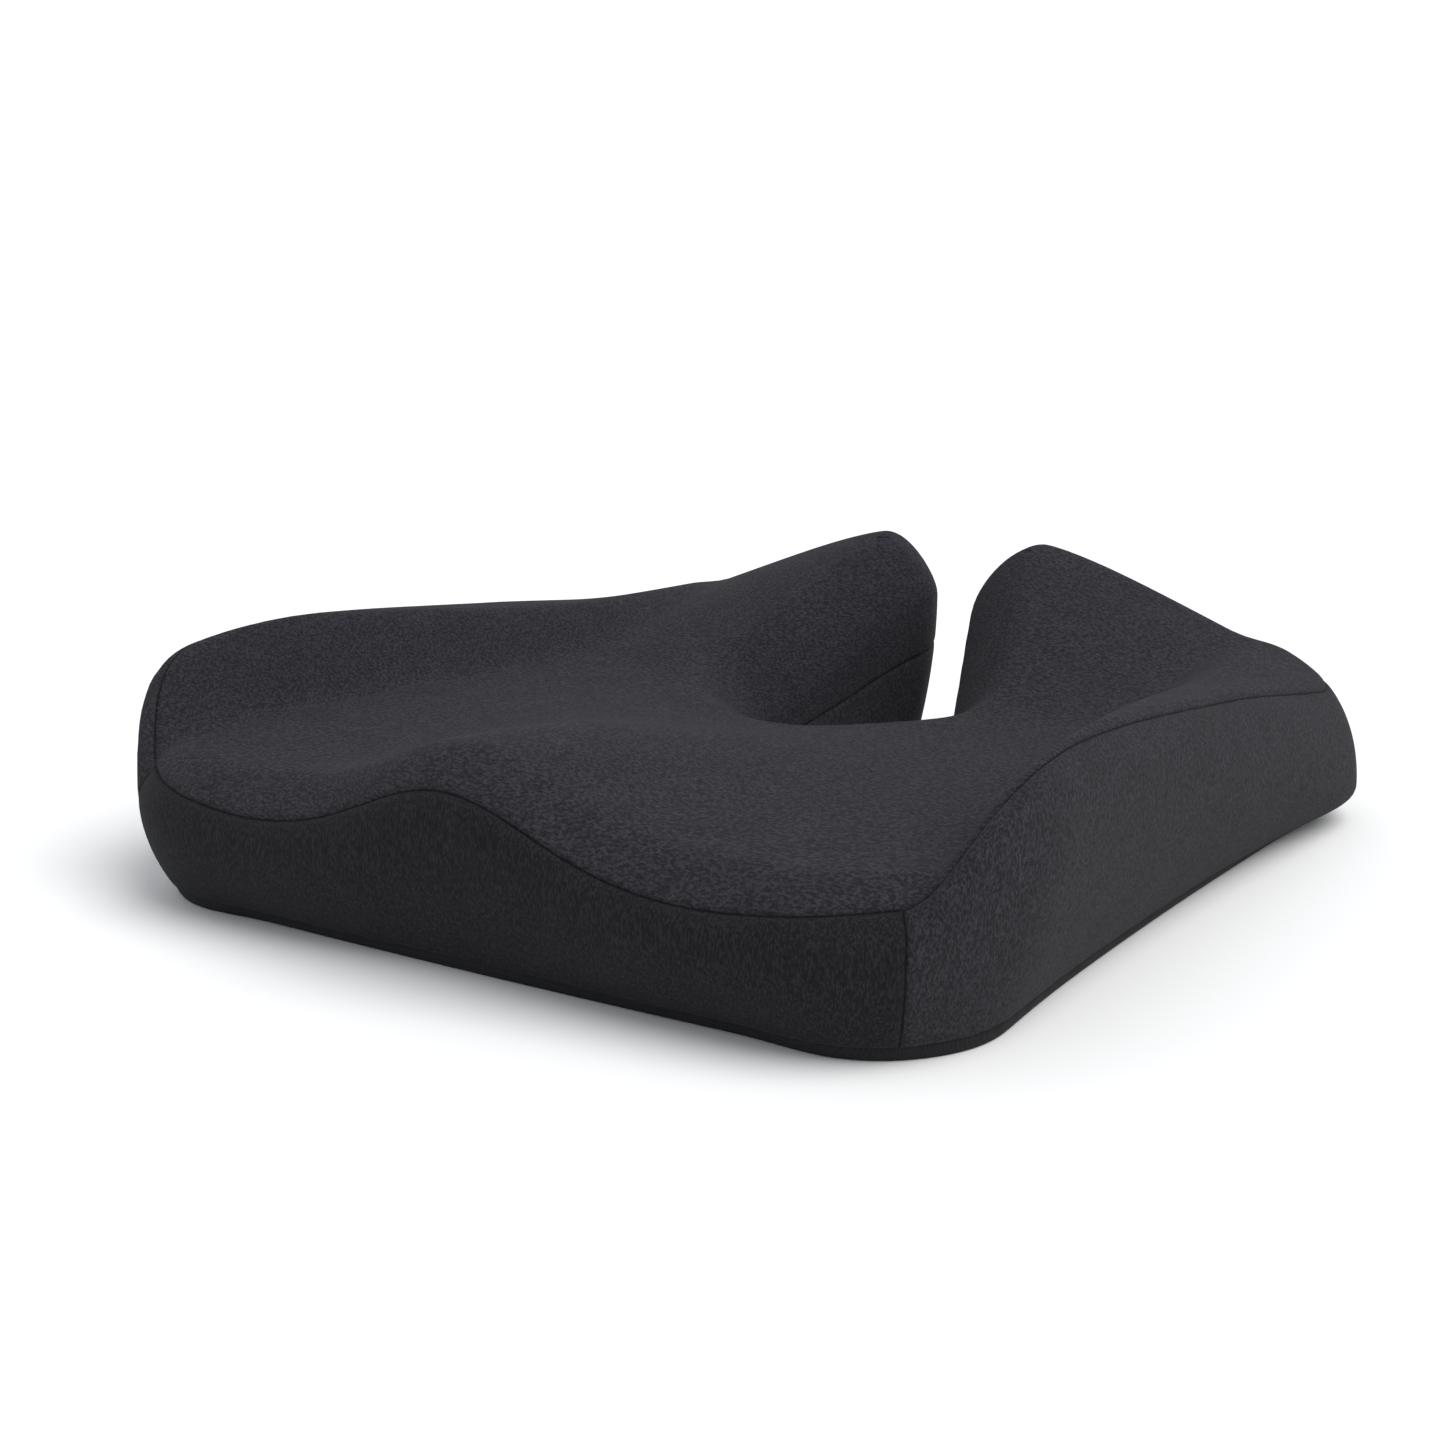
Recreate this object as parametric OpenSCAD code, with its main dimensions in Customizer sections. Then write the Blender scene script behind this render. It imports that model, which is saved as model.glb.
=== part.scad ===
// Contoured seat cushion: a moulded foam core with a tailbone slot, in a zipped fabric cover.
// Millimetres. +Z is up, the front faces -Y, and +X is the sitter's right.
// The origin is on the floor under the middle of the cushion.

/* [Overall] */
// Width across the two sides
body_w = 450; // [400:1:540]
// Depth from the front band to the rear edge, before the front bow
body_d = 444; // [410:1:540]
// How far the front edge bows forward in the middle
front_bow = 6.5; // [0:0.5:20]
// How far each side is drawn in at its middle
waist = 2; // [0:0.5:8]
// Radius of the two front corners
front_corner_r = 81; // [60:1:110]
// Radius of the two rear corners
rear_corner_r = 53; // [35:1:70]
// How far the walls lean out from the base to their top
wall_lean = 23.5; // [6:0.5:26]
// Curve of the leaning wall, where 1 is straight
lean_power = 1.9; // [1:0.1:2.5]

/* [Tailbone slot] */
// Half width of the slot at its narrow neck
neck_half_w = 13; // [10:0.5:24]
// Radius of the slot's closed end
slot_end_r = 52; // [36:1:60]
// Distance of the closed end behind the middle of the cushion
slot_end_y = 33; // [10:1:60]
// Radius of the corner between the slot and the rear edge
mouth_r = 37; // [30:1:56]

/* [Seat surface] */
// Height of the seat at its middle
seat_h = 68.5; // [48:0.5:80]
// Rise of the ridge between the thighs
ridge_h = 28.5; // [10:0.5:40]
// Half width of that ridge
ridge_w = 59; // [40:1:70]
// Share of the depth over which the ridge fades out
ridge_fade = 0.54; // [0.3:0.05:0.8]
// Rise of the side bolsters at the front
bolster_front_h = 44.5; // [30:1:60]
// Rise of the side bolsters at the rear, on top of the wings
bolster_rear_h = -1; // [-10:1:10]
// Where a bolster starts, as a share of the half width
bolster_start = 0.84; // [0.6:0.01:0.88]
// Where it starts at the rear
bolster_start_rear = 0.66; // [0.6:0.01:0.75]
// Where it reaches its full height at the rear, as a share of the half width
bolster_end_rear = 0.8; // [0.78:0.01:1]
// Share of the depth over which a bolster's start and end move inwards
bolster_shift = 0.8; // [0.6:0.05:1.2]
// Share of the depth over which the bolsters change height
bolster_fade = 1.23; // [0.8:0.01:1.3]
// Rise of the rear wings beside the slot
wing_inner_h = 79.5; // [40:0.5:84]
// Rise of the rear wings at the sides
wing_outer_h = -14.5; // [-20:1:20]
// Where the wings start to rise, as a share of the depth
wing_start = 0.61; // [0.45:0.01:0.65]
// Drop of the centre line between ridge and slot
centre_drop = 10; // [0:0.5:12]
// Half width of that drop
centre_drop_w = 51; // [20:1:55]
// Depth of the two sitting hollows
dish = 6.5; // [0:0.5:10]
// Distance of each hollow from the centre line
dish_x = 100; // [90:1:120]
// Distance of each hollow behind the middle
dish_y = 39; // [0:1:40]
// Half width of each hollow
dish_w = 70; // [50:1:90]
// Half length of each hollow
dish_l = 80; // [60:1:100]

/* [Edge rolls] */
// Width of the front edge roll
roll_w_front = 25; // [16:1:34]
// Drop of the front edge roll
roll_h_front = 25.5; // [12:0.5:30]
// Width of the side edge roll towards the front
roll_w_side = 15; // [8:1:24]
// Drop of the side edge roll towards the front
roll_h_side = 24; // [16:1:30]
// Width of the side edge roll towards the rear
roll_w_flank = 27; // [16:1:32]
// Drop of the side edge roll towards the rear
roll_h_flank = 49; // [30:1:56]
// Width of the rear edge roll
roll_w_rear = 28.5; // [12:1:30]
// Drop of the rear edge roll
roll_h_rear = 40.5; // [20:1:45]
// Width of the roll at the slot's mouth
roll_w_mouth = 31; // [16:0.5:36]
// Drop of the roll at the slot's mouth
roll_h_mouth = 44; // [24:1:48]
// Width of the roll into the slot's closed end
roll_w_slot = 25.5; // [20:1:40]
// Drop of the roll into the slot's closed end
roll_h_slot = 18; // [14:1:28]
// Width of the roll along the slot's sides
roll_w_slot_side = 32; // [20:1:40]
// Drop of the roll along the slot's sides
roll_h_slot_side = 34; // [18:1:40]
// Fullness of the front and side rolls, where 2 is an ellipse and 1 a chamfer
roll_full_front = 1.6; // [1.2:0.05:2.4]
// Fullness of the rear rolls
roll_full_rear = 2.1; // [1.2:0.05:2.4]
// Fullness of the slot's roll
roll_full_slot = 1.4; // [1.2:0.05:2.4]

// Least height of the straight wall under a roll
wall_min = 14; // [12:0.5:24]

/* [Cover] */
// Thickness of the knitted cover
cover_t = 1.5; // [0.8:0.1:2.5]
// Thickness of the base fabric
base_t = 1.4; // [0.8:0.1:2]
// Height of the base fabric's turned-up edge
base_edge_h = 5.5; // [5:0.5:14]
// Place of the top seam on the front roll, in degrees up from the wall
seam_angle_front = 27.5; // [15:1:45]
// Place of the top seam at the front corners
seam_angle_corner = 46; // [30:1:55]
// Place of the top seam along the sides, just outside their crest
seam_angle_side = 78; // [60:1:100]
// Place of the top seam on the rear roll
seam_angle_rear = 50; // [30:1:60]
// Place of the top seam in the slot, low on its roll
seam_angle_slot = 14; // [10:1:50]
// Radius of the sewing thread
thread_r = 0.4; // [0.3:0.05:0.45]
// Gap between the cover and the thread behind it
thread_gap = 0.35; // [0.2:0.05:0.4]

/* [Liner and core] */
// Gap between the cover and the liner
liner_gap = 1.4; // [1.2:0.1:2]
// Thickness of the liner
liner_t = 0.8; // [0.5:0.1:1.2]
// Gap between the liner and the foam core
core_gap = 0.4; // [0.3:0.1:1]
// Gap between flat layers that lie on each other
lay_gap = 0.1; // [0.05:0.05:0.2]

/* [Zip] */
// Distance of the zip in front of the middle
zip_front = 70; // [50:1:120]
// Length of the row of teeth
zip_l = 320; // [260:4:340]
// Tooth pitch
tooth_pitch = 4; // [3:0.5:6]
// Length of a tooth along the zip
tooth_l = 2.2; // [1.5:0.1:2.4]
// Width of a tooth across the zip
tooth_w = 2.5; // [2:0.1:3]
// Thickness of a tooth
tooth_h = 2.4; // [2:0.1:3]
// Half of the gap between the two rows
row_gap = 0.7; // [0.6:0.05:1]
// Thickness of the tape
tape_t = 0.6; // [0.4:0.1:0.8]
// Height of the tape's underside where it holds the teeth
tape_z = 6; // [5.6:0.1:7]
// Width of the tape sewn on each base panel
tape_lap = 9; // [6:0.5:12]
// Half width of the valley that the zip lies in
valley_half_w = 13; // [11:0.5:16]
// Length that the valley runs past each end of the teeth
valley_past = 25; // [22:1:30]
// Length of the slider
slider_l = 11; // [9:0.5:13]
// Thickness of the slider's plates
slider_plate = 1; // [0.8:0.1:1.2]
// Clearance between the slider and what it runs on
slider_gap = 0.3; // [0.2:0.05:0.3]
// Width of the slider's side flanges
flange_w = 1.2; // [0.8:0.1:1.5]
// Radius of the pull's pin
pin_r = 0.6; // [0.5:0.05:0.7]
// Clearance round that pin
pin_gap = 0.06; // [0.03:0.01:0.1]
// Radius of the pull's eye
eye_r = 1.2; // [1.1:0.05:1.3]
// Length of the pull tab
tab_l = 24; // [18:0.5:26]
// Width of the pull tab
tab_w = 6.5; // [5:0.5:8]
// Thickness of the pull tab
tab_t = 1; // [0.8:0.1:1.2]

/* [Hidden] */

half_w = body_w / 2;
half_d = body_d / 2;
mid_y = front_bow / 2;  // shifts the outline so that its box is centred on the origin

// Points on each stretch of half the outline
n_front = 9;
n_front_corner = 7;
n_side = 9;
n_rear_corner = 5;
n_rear = 4;
n_mouth = 5;
n_slot = 9;
n_slot_end = 16;
half_n = n_front + n_front_corner + n_side + n_rear_corner + n_rear + n_mouth + n_slot + n_slot_end;
loop_n = 2 * half_n;
turn_n = half_n / 2;
rear_n = turn_n - n_rear / 2;

// Tags number the outline's stretches: 0 front, 1 front corner, 2 side, 3 rear corner, 4 rear,
// 5 mouth corner, 6 slot side, 7 to 8 closed end of the slot
corner_seam_i = n_front + 3;
rear_seam_i = n_front + n_front_corner + n_side + n_rear_corner;
mouth_seam_i = rear_seam_i + n_rear + 3;

function clamp01(t) = min(max(t, 0), 1);
function ramp(t, a, b) = let (x = clamp01((t - a) / (b - a))) x * x * (3 - 2 * x);
function mix(a, b, t) = a * (1 - t) + b * t;
function bell(x, w) = exp(-pow(x / w, 2));

// Half outline, from the middle of the front round to the middle of the slot's end
function straight(a, b, n, tag) =
    [for (i = [0:n - 1]) let (k = i / n) [mix(a.x, b.x, k), mix(a.y, b.y, k), tag + k]];
function bend(c, r, a0, a1, n, tag) =
    [for (i = [0:n - 1]) let (k = i / n, a = mix(a0, a1, k))
        [c.x + r * cos(a), c.y + r * sin(a), tag + k]];
plain_half = concat(
    straight([0, -half_d], [half_w - front_corner_r, -half_d], n_front, 0),
    bend([half_w - front_corner_r, front_corner_r - half_d], front_corner_r, -90, 0, n_front_corner, 1),
    straight([half_w, front_corner_r - half_d], [half_w, half_d - rear_corner_r], n_side, 2),
    bend([half_w - rear_corner_r, half_d - rear_corner_r], rear_corner_r, 0, 90, n_rear_corner, 3),
    straight([half_w - rear_corner_r, half_d], [neck_half_w + mouth_r, half_d], n_rear, 4),
    bend([neck_half_w + mouth_r, half_d - mouth_r], mouth_r, 90, 180, n_mouth, 5),
    straight([neck_half_w, half_d - mouth_r], [slot_end_r, slot_end_y + slot_end_r], n_slot, 6),
    bend([0, slot_end_y + slot_end_r], slot_end_r, 0, -90, n_slot_end, 7),
    [[0, slot_end_y, 8]]);

// The sides draw in at the waist, and the front bows forward
function shaped(p) =
    let (
        u = abs(p.x) / half_w,
        drawn = waist * pow(cos(90 * min(abs(p.y) / (0.4 * body_d), 1)), 2) * ramp(u, 0.6, 1),
        bowed = front_bow * (1 - u * u) * ramp(-p.y / half_d, 0, 1)
    )
    [p.x - drawn * sign(p.x), p.y - bowed + mid_y, p.z];
half_outline = [for (p = plain_half) shaped(p)];
outline = concat(half_outline,
    [for (i = [half_n - 1:-1:1]) let (p = half_outline[i]) [-p.x, p.y, p.z]]);

function wrap(i) = (i + loop_n) % loop_n;
normals = [for (i = [0:loop_n - 1])
    let (t = outline[wrap(i + 1)] - outline[wrap(i - 1)], l = norm([t.x, t.y])) [t.y, -t.x] / l];

// Height of the seat surface over any point
function seat_z(x, y) =
    let (
        u = abs(x) / half_w,
        v = (y - mid_y + half_d) / body_d,
        ridge = ridge_h * bell(x, ridge_w) * (1 - ramp(v, 0, ridge_fade)),
        shift = ramp(v, 0, bolster_shift),
        rise = ramp(u, mix(bolster_start, bolster_start_rear, shift), mix(1, bolster_end_rear, shift)),
        bolster = mix(bolster_front_h, bolster_rear_h, ramp(v, 0, bolster_fade)) * rise,
        wing = mix(wing_inner_h, wing_outer_h, clamp01(u)) * ramp(v, wing_start, 1),
        drop = centre_drop * bell(x, centre_drop_w) * ramp(v, 0.2, 0.6),
        hollow = dish * bell(abs(x) - dish_x, dish_w) * bell(y - mid_y - dish_y, dish_l)
    )
    seat_h + ridge + bolster + wing - drop - hollow;

// Sizes that change round the outline, by tag
roll_tags = [0, 1.2, 2.3, 3, 3.5, 4.5, 5, 5.6, 6.2, 7, 7.6, 8];
mouth_roll = min(roll_w_mouth, mouth_r - 6);  // the roll ends short of the corner's own centre
roll_ws = [roll_w_front, roll_w_front, roll_w_side, roll_w_flank, roll_w_rear,
    roll_w_rear, mouth_roll, mouth_roll, roll_w_slot_side, roll_w_slot_side, roll_w_slot, roll_w_slot];
roll_hs = [roll_h_front, roll_h_front, roll_h_side, roll_h_flank, roll_h_rear,
    roll_h_rear, roll_h_mouth, roll_h_mouth, roll_h_slot_side, roll_h_slot_side, roll_h_slot, roll_h_slot];
function table(keys, values) = [for (i = [0:len(keys) - 1]) [keys[i], values[i]]];
roll_w_table = table(roll_tags, roll_ws);
roll_h_table = table(roll_tags, roll_hs);
full_table = table([0, 2.3, 3, 5, 5.6, 8],
    [roll_full_front, roll_full_front, roll_full_rear, roll_full_rear, roll_full_slot, roll_full_slot]);
lean_table = table([0, 0.9, 1.3, 1.7, 2.1, 4, 5, 6, 8], wall_lean * [1, 1, 0.65, 0.65, 1, 1, 0.6, 0.5, 0.3]);
seam_table = table([0, 0.8, 1.4, 1.8, 2.2, 2.6, 3.3, 4.2, 4.6, 5.6, 8], [seam_angle_front,
    seam_angle_front, seam_angle_corner, seam_angle_corner, seam_angle_side - 6, seam_angle_side,
    seam_angle_side - 4, seam_angle_rear, seam_angle_rear, seam_angle_slot, seam_angle_slot]);

roll_w = [for (p = outline) lookup(p.z, roll_w_table)];
roll_h = [for (p = outline) min(lookup(p.z, roll_h_table), seat_z(p.x, p.y) - wall_min)];
roll_power = [for (p = outline) 2 / lookup(p.z, full_table)];
lean = [for (p = outline) lookup(p.z, lean_table)];
wall_h = [for (i = [0:loop_n - 1]) seat_z(outline[i].x, outline[i].y) - roll_h[i]];
seam_s = [for (p = outline) 1 + lookup(p.z, seam_table) / 90];
edge_s = [for (i = [0:loop_n - 1]) base_edge_h / wall_h[i]];

// Middle line of the horseshoe, shared by the outer and the slot side of the surface
spine_pull = 60;  // how far it stops short of the rear edge
spine_step = 1.5;
spine_lean = 0.3;  // how far it leans to the slot beside the slot
function half_index(i) = i <= half_n ? i : loop_n - i;
function spine_key(i) = min(half_index(i), half_n - half_index(i));
function side_of(i) = i <= half_n ? 1 : -1;
function spine_xy(m, side) =
    let (
        a = half_outline[m],
        b = half_outline[half_n - m],
        pull = spine_pull * ramp(m / rear_n, 0.3, 1) - spine_step * max(m - rear_n, 0),
        share = 0.5 + spine_lean * ramp(m / rear_n, 0, 0.55)
    )
    [side * (a.x + b.x) / 2, mix(a.y, b.y, share) - pull];
function spine_id(i) = let (m = spine_key(i)) m == 0 || side_of(i) > 0 ? m : turn_n + m;
spine_n = 2 * turn_n + 1;

// Point of the outer surface on line i. s runs 0 to 1 up the wall, 1 to 2 over the roll,
// and 2 to 3 across the top to the middle line.
function wall_point(i, s) =
    let (out = -lean[i] * pow(1 - s, lean_power), c = outline[i], n = normals[i])
    [c.x + n.x * out, c.y + n.y * out, wall_h[i] * s];
function roll_point(i, s) =
    let (
        a = 90 * min(s - 1, 1),
        inset = roll_w[i] * (1 - pow(max(cos(a), 0), roll_power[i])),
        c = outline[i],
        n = normals[i],
        x = c.x - n.x * inset,
        y = c.y - n.y * inset
    )
    [x, y, seat_z(x, y) - roll_h[i] * (1 - pow(sin(a), roll_power[i]))];
function top_point(i, s) =
    let (
        edge = roll_point(i, 2),
        mid = spine_xy(spine_key(i), side_of(i)),
        x = mix(edge.x, mid.x, s - 2),
        y = mix(edge.y, mid.y, s - 2)
    )
    [x, y, seat_z(x, y)];
function skin(i, s) = s <= 1 ? wall_point(i, s) : s <= 2 ? roll_point(i, s) : top_point(i, s);

// Outward normal. On the wall it is square to the steps along and up; on the roll and the top it
// comes from the slope of the seat and of the roll's own curve.
ds = 0.02;
function wall_normal(i, s) =
    let (
        across = skin(wrap(i + 1), s) - skin(wrap(i - 1), s),
        up = skin(i, min(s + ds, 3)) - skin(i, max(s - ds, 0)),
        n = cross(across, up)
    )
    n / norm(n);
function seat_normal(x, y) =
    [seat_z(x - 0.5, y) - seat_z(x + 0.5, y), seat_z(x, y - 0.5) - seat_z(x, y + 0.5), 1];
function roll_normal(i, s) =
    let (
        a = 90 * (s - 1),
        power = 2 - roll_power[i],
        p = roll_point(i, s),
        c = normals[i],
        n = seat_normal(p.x, p.y) * pow(sin(a), power)
            + [c.x, c.y, 0] * roll_h[i] / roll_w[i] * pow(max(cos(a), 0), power)
    )
    n / norm(n);
function top_normal(i, s) = let (p = top_point(i, s), n = seat_normal(p.x, p.y)) n / norm(n);
function skin_normal(i, s) = s <= 1 ? wall_normal(i, s) : s <= 2 ? roll_normal(i, s) : top_normal(i, s);

// Point at a depth under the outer surface
function under(i, s, depth) =
    s >= 3 ? skin(i, 3) - [0, 0, depth] : skin(i, s) - skin_normal(i, s) * depth;

// Triangles of a quad whose corners go round clockwise, seen from outside
function quad(a, b, c, d) = [[a, b, c], [a, c, d]];
function flat_list(lists) = [for (l = lists) for (e = l) e];
function flipped(faces) = [for (f = faces) [f[2], f[1], f[0]]];

// Faces of the surface from ring 0 to the middle line. rings counts the rings before it.
function cap_faces(rings, from) =
    flat_list([for (i = [0:loop_n - 1]) let (j = wrap(i + 1), last = from + (rings - 1) * loop_n)
        concat(
            flat_list([for (r = [0:1:rings - 2]) let (o = from + r * loop_n)
                quad(o + i, o + loop_n + i, o + loop_n + j, o + j)]),
            quad(last + i, from + rings * loop_n + spine_id(i), from + rings * loop_n + spine_id(j), last + j)
        )]);
function cap_points(stations, depth) =
    concat(
        flat_list([for (ring = stations) [for (i = [0:loop_n - 1]) under(i, ring[i], depth)]]),
        spine_points(depth));
function spine_points(depth) =
    [for (k = [0:spine_n - 1]) let (m = k <= turn_n ? k : k - turn_n, p = spine_xy(m, k <= turn_n ? 1 : -1))
        [p.x, p.y, seat_z(p.x, p.y) - depth]];

// A list of rings, each with a station for every line of the outline. The liner and the core take
// theirs from the cover's, so that the layers stay parallel.
band_steps = 6;
function same(s) = [for (i = [0:loop_n - 1]) s];
function above_seam(steps) = [for (k = [0:steps]) [for (i = [0:loop_n - 1]) mix(seam_s[i], 2.36, k / steps)]];
top_stations = concat(above_seam(4), [for (s = [2.52, 2.75]) same(s)]);
wall_stations = [for (k = [0, 2, 4]) [for (i = [0:loop_n - 1]) mix(edge_s[i], seam_s[i], k / band_steps)]];
inner_stations = concat(wall_stations, top_stations);

// Sheet between two depths, from its first ring over to the middle line
module top_sheet(stations, depth, thick) {
    rings = len(stations);
    outer = cap_points(stations, depth);
    inner = cap_points(stations, depth + thick);
    n = len(outer);
    rim = flat_list([for (i = [0:loop_n - 1]) let (j = wrap(i + 1)) quad(n + i, i, j, n + j)]);
    polyhedron(concat(outer, inner), concat(cap_faces(rings, 0), flipped(cap_faces(rings, n)), rim), 10);
}

// A ring of points at one depth and a set height, for a flat lower edge. Each line's station is
// halved in on between low and high.
function level_s(i, depth, z, low, high, steps) =
    let (s = (low + high) / 2)
    steps == 0 ? s
        : under(i, s, depth).z > z ? level_s(i, depth, z, low, s, steps - 1)
        : level_s(i, depth, z, s, high, steps - 1);
function level_ring(depth, z) =
    [for (i = [0:loop_n - 1]) let (p = under(i, level_s(i, depth, z, 0, edge_s[i], 10), depth)) [p.x, p.y, z]];

// Strip of the cover from line i0 to line i1, between two lists of stations
module band(i0, i1, low, high, steps) {
    cols = i1 - i0 + 1;
    layer = cols * (steps + 1);
    points = flat_list([for (depth = [0, cover_t]) flat_list([for (k = [0:steps])
        [for (c = [i0:i1]) let (i = wrap(c)) under(i, mix(low[i], high[i], k / steps), depth)]])]);
    function at(d, k, c) = d * layer + k * cols + c;
    function face(d) = flat_list([for (k = [0:steps - 1]) flat_list([for (c = [0:cols - 2])
        quad(at(d, k, c), at(d, k + 1, c), at(d, k + 1, c + 1), at(d, k, c + 1))])]);
    ends = flat_list([for (k = [0:steps - 1]) concat(
        quad(at(1, k, 0), at(1, k + 1, 0), at(0, k + 1, 0), at(0, k, 0)),
        quad(at(0, k + 1, cols - 1), at(1, k + 1, cols - 1), at(1, k, cols - 1), at(0, k, cols - 1)))]);
    rims = flat_list([for (c = [0:cols - 2]) concat(
        quad(at(1, 0, c), at(0, 0, c), at(0, 0, c + 1), at(1, 0, c + 1)),
        quad(at(1, steps, c), at(1, steps, c + 1), at(0, steps, c + 1), at(0, steps, c)))]);
    polyhedron(points, concat(face(0), flipped(face(1)), ends, rims), 10);
}
module cover_band(i0, i1) { band(i0, i1, edge_s, seam_s, band_steps); }

// Sewing thread behind a seam, a square tube through points [place, normal, along]
thread_depth = cover_t + thread_gap + thread_r;
function thread_ring(i, s) =
    let (c = under(i, s, thread_depth), n = skin_normal(i, s), t = skin(wrap(i + 1), s) - skin(wrap(i - 1), s),
        b = cross(n, t / norm(t)))
    [c + n * thread_r, c + b * thread_r, c - n * thread_r, c - b * thread_r];
module loop_thread(stations) {
    points = flat_list([for (i = [0:loop_n - 1]) thread_ring(i, stations[i])]);
    faces = flat_list([for (i = [0:loop_n - 1]) let (j = wrap(i + 1)) flat_list([for (k = [0:3])
        let (m = (k + 1) % 4) quad(4 * i + k, 4 * i + m, 4 * j + m, 4 * j + k)])]);
    polyhedron(points, faces, 10);
}
seam_margin = 0.06;  // keeps a corner's thread clear of the loops above and below it
module corner_thread(line) {
    i = wrap(line);
    stations = [for (k = [0:band_steps]) min(max(mix(edge_s[i], seam_s[i], k / band_steps),
        edge_s[i] + seam_margin), seam_s[i] - seam_margin)];
    points = flat_list([for (s = stations) let (
        c = under(i, s, thread_depth),
        n = skin_normal(i, s),
        b = cross(n, skin(i, s + ds) - skin(i, s - ds)),
        e = b / norm(b))
        [c + n * thread_r, c + e * thread_r, c - n * thread_r, c - e * thread_r]]);
    sides = flat_list([for (r = [0:band_steps - 1]) flat_list([for (k = [0:3])
        let (m = (k + 1) % 4) quad(4 * r + k, 4 * r + m, 4 * r + 4 + m, 4 * r + 4 + k)])]);
    top = 4 * band_steps;
    polyhedron(points, concat(sides, quad(3, 2, 1, 0), quad(top, top + 1, top + 2, top + 3)), 10);
}

// Levels of the flat layers in the base
liner_z = base_t + lay_gap + tape_t + lay_gap + 0.8;
core_z = liner_z + liner_t + core_gap;
zip_y = mid_y - zip_front;
valley_half_l = zip_l / 2 + valley_past;
tooth_z = tape_z + (tape_t - tooth_h) / 2;
slider_in_low = tooth_z - slider_gap;
slider_in_high = tooth_z + tooth_h + slider_gap;
slider_top = slider_in_high + slider_plate;
tunnel_z = slider_top + 0.6;  // underside of the liner over the zip
tunnel_half_w = valley_half_w + liner_t + 1;
tunnel_half_l = valley_half_l + 4;

// Plan of the base fabric, inside its turned-up edge
base_outline = [for (i = [0:loop_n - 1])
    let (p = skin(i, 0), n = normals[i], in = cover_t + 0.3) [p.x - n.x * in, p.y - n.y * in]];
liner_outline = [for (p = level_ring(cover_t + liner_gap + liner_t + 0.3, liner_z)) [p.x, p.y]];
far = body_w + body_d;

module foam_core() {
    depth = cover_t + liner_gap + liner_t + core_gap;
    rings = len(inner_stations) + 1;
    cap = concat(level_ring(depth, core_z), cap_points(inner_stations, depth));
    floor_mid = [for (k = [0:spine_n - 1])
        let (m = k <= turn_n ? k : k - turn_n, p = spine_xy(m, k <= turn_n ? 1 : -1)) [p.x, p.y, core_z]];
    n = len(cap);
    floor_faces = flat_list([for (i = [0:loop_n - 1]) let (j = wrap(i + 1))
        quad(i, j, n + spine_id(j), n + spine_id(i))]);
    color("#d9d3c3") difference() {
        polyhedron(concat(cap, floor_mid), concat(cap_faces(rings, 0), floor_faces), 10);
        translate([0, zip_y, core_z]) cube([2 * (tunnel_half_l + liner_t + core_gap),
            2 * (tunnel_half_w + liner_t + core_gap), 2 * (tunnel_z + liner_t + core_gap - core_z)], center = true);
    }
}

module inner_liner_top() {
    depth = cover_t + liner_gap;
    rings = len(inner_stations) + 1;
    outer = concat(level_ring(depth, liner_z), cap_points(inner_stations, depth));
    inner = concat(level_ring(depth + liner_t, liner_z), cap_points(inner_stations, depth + liner_t));
    n = len(outer);
    rim = flat_list([for (i = [0:loop_n - 1]) let (j = wrap(i + 1)) quad(n + i, i, j, n + j)]);
    color("#c9ccd0")
        polyhedron(concat(outer, inner), concat(cap_faces(rings, 0), flipped(cap_faces(rings, n)), rim), 10);
}

module inner_liner_base() {
    color("#bfc3c8") {
        translate([0, 0, liner_z]) linear_extrude(liner_t) difference() {
            polygon(liner_outline);
            translate([0, zip_y]) square([2 * tunnel_half_l, 2 * tunnel_half_w], center = true);
        }
        translate([0, zip_y, liner_z]) linear_extrude(tunnel_z - liner_z) difference() {
            square([2 * (tunnel_half_l + liner_t), 2 * (tunnel_half_w + liner_t)], center = true);
            square([2 * tunnel_half_l, 2 * tunnel_half_w], center = true);
        }
        translate([0, zip_y, tunnel_z]) linear_extrude(liner_t)
            square([2 * (tunnel_half_l + liner_t), 2 * (tunnel_half_w + liner_t)], center = true);
    }
}

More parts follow.
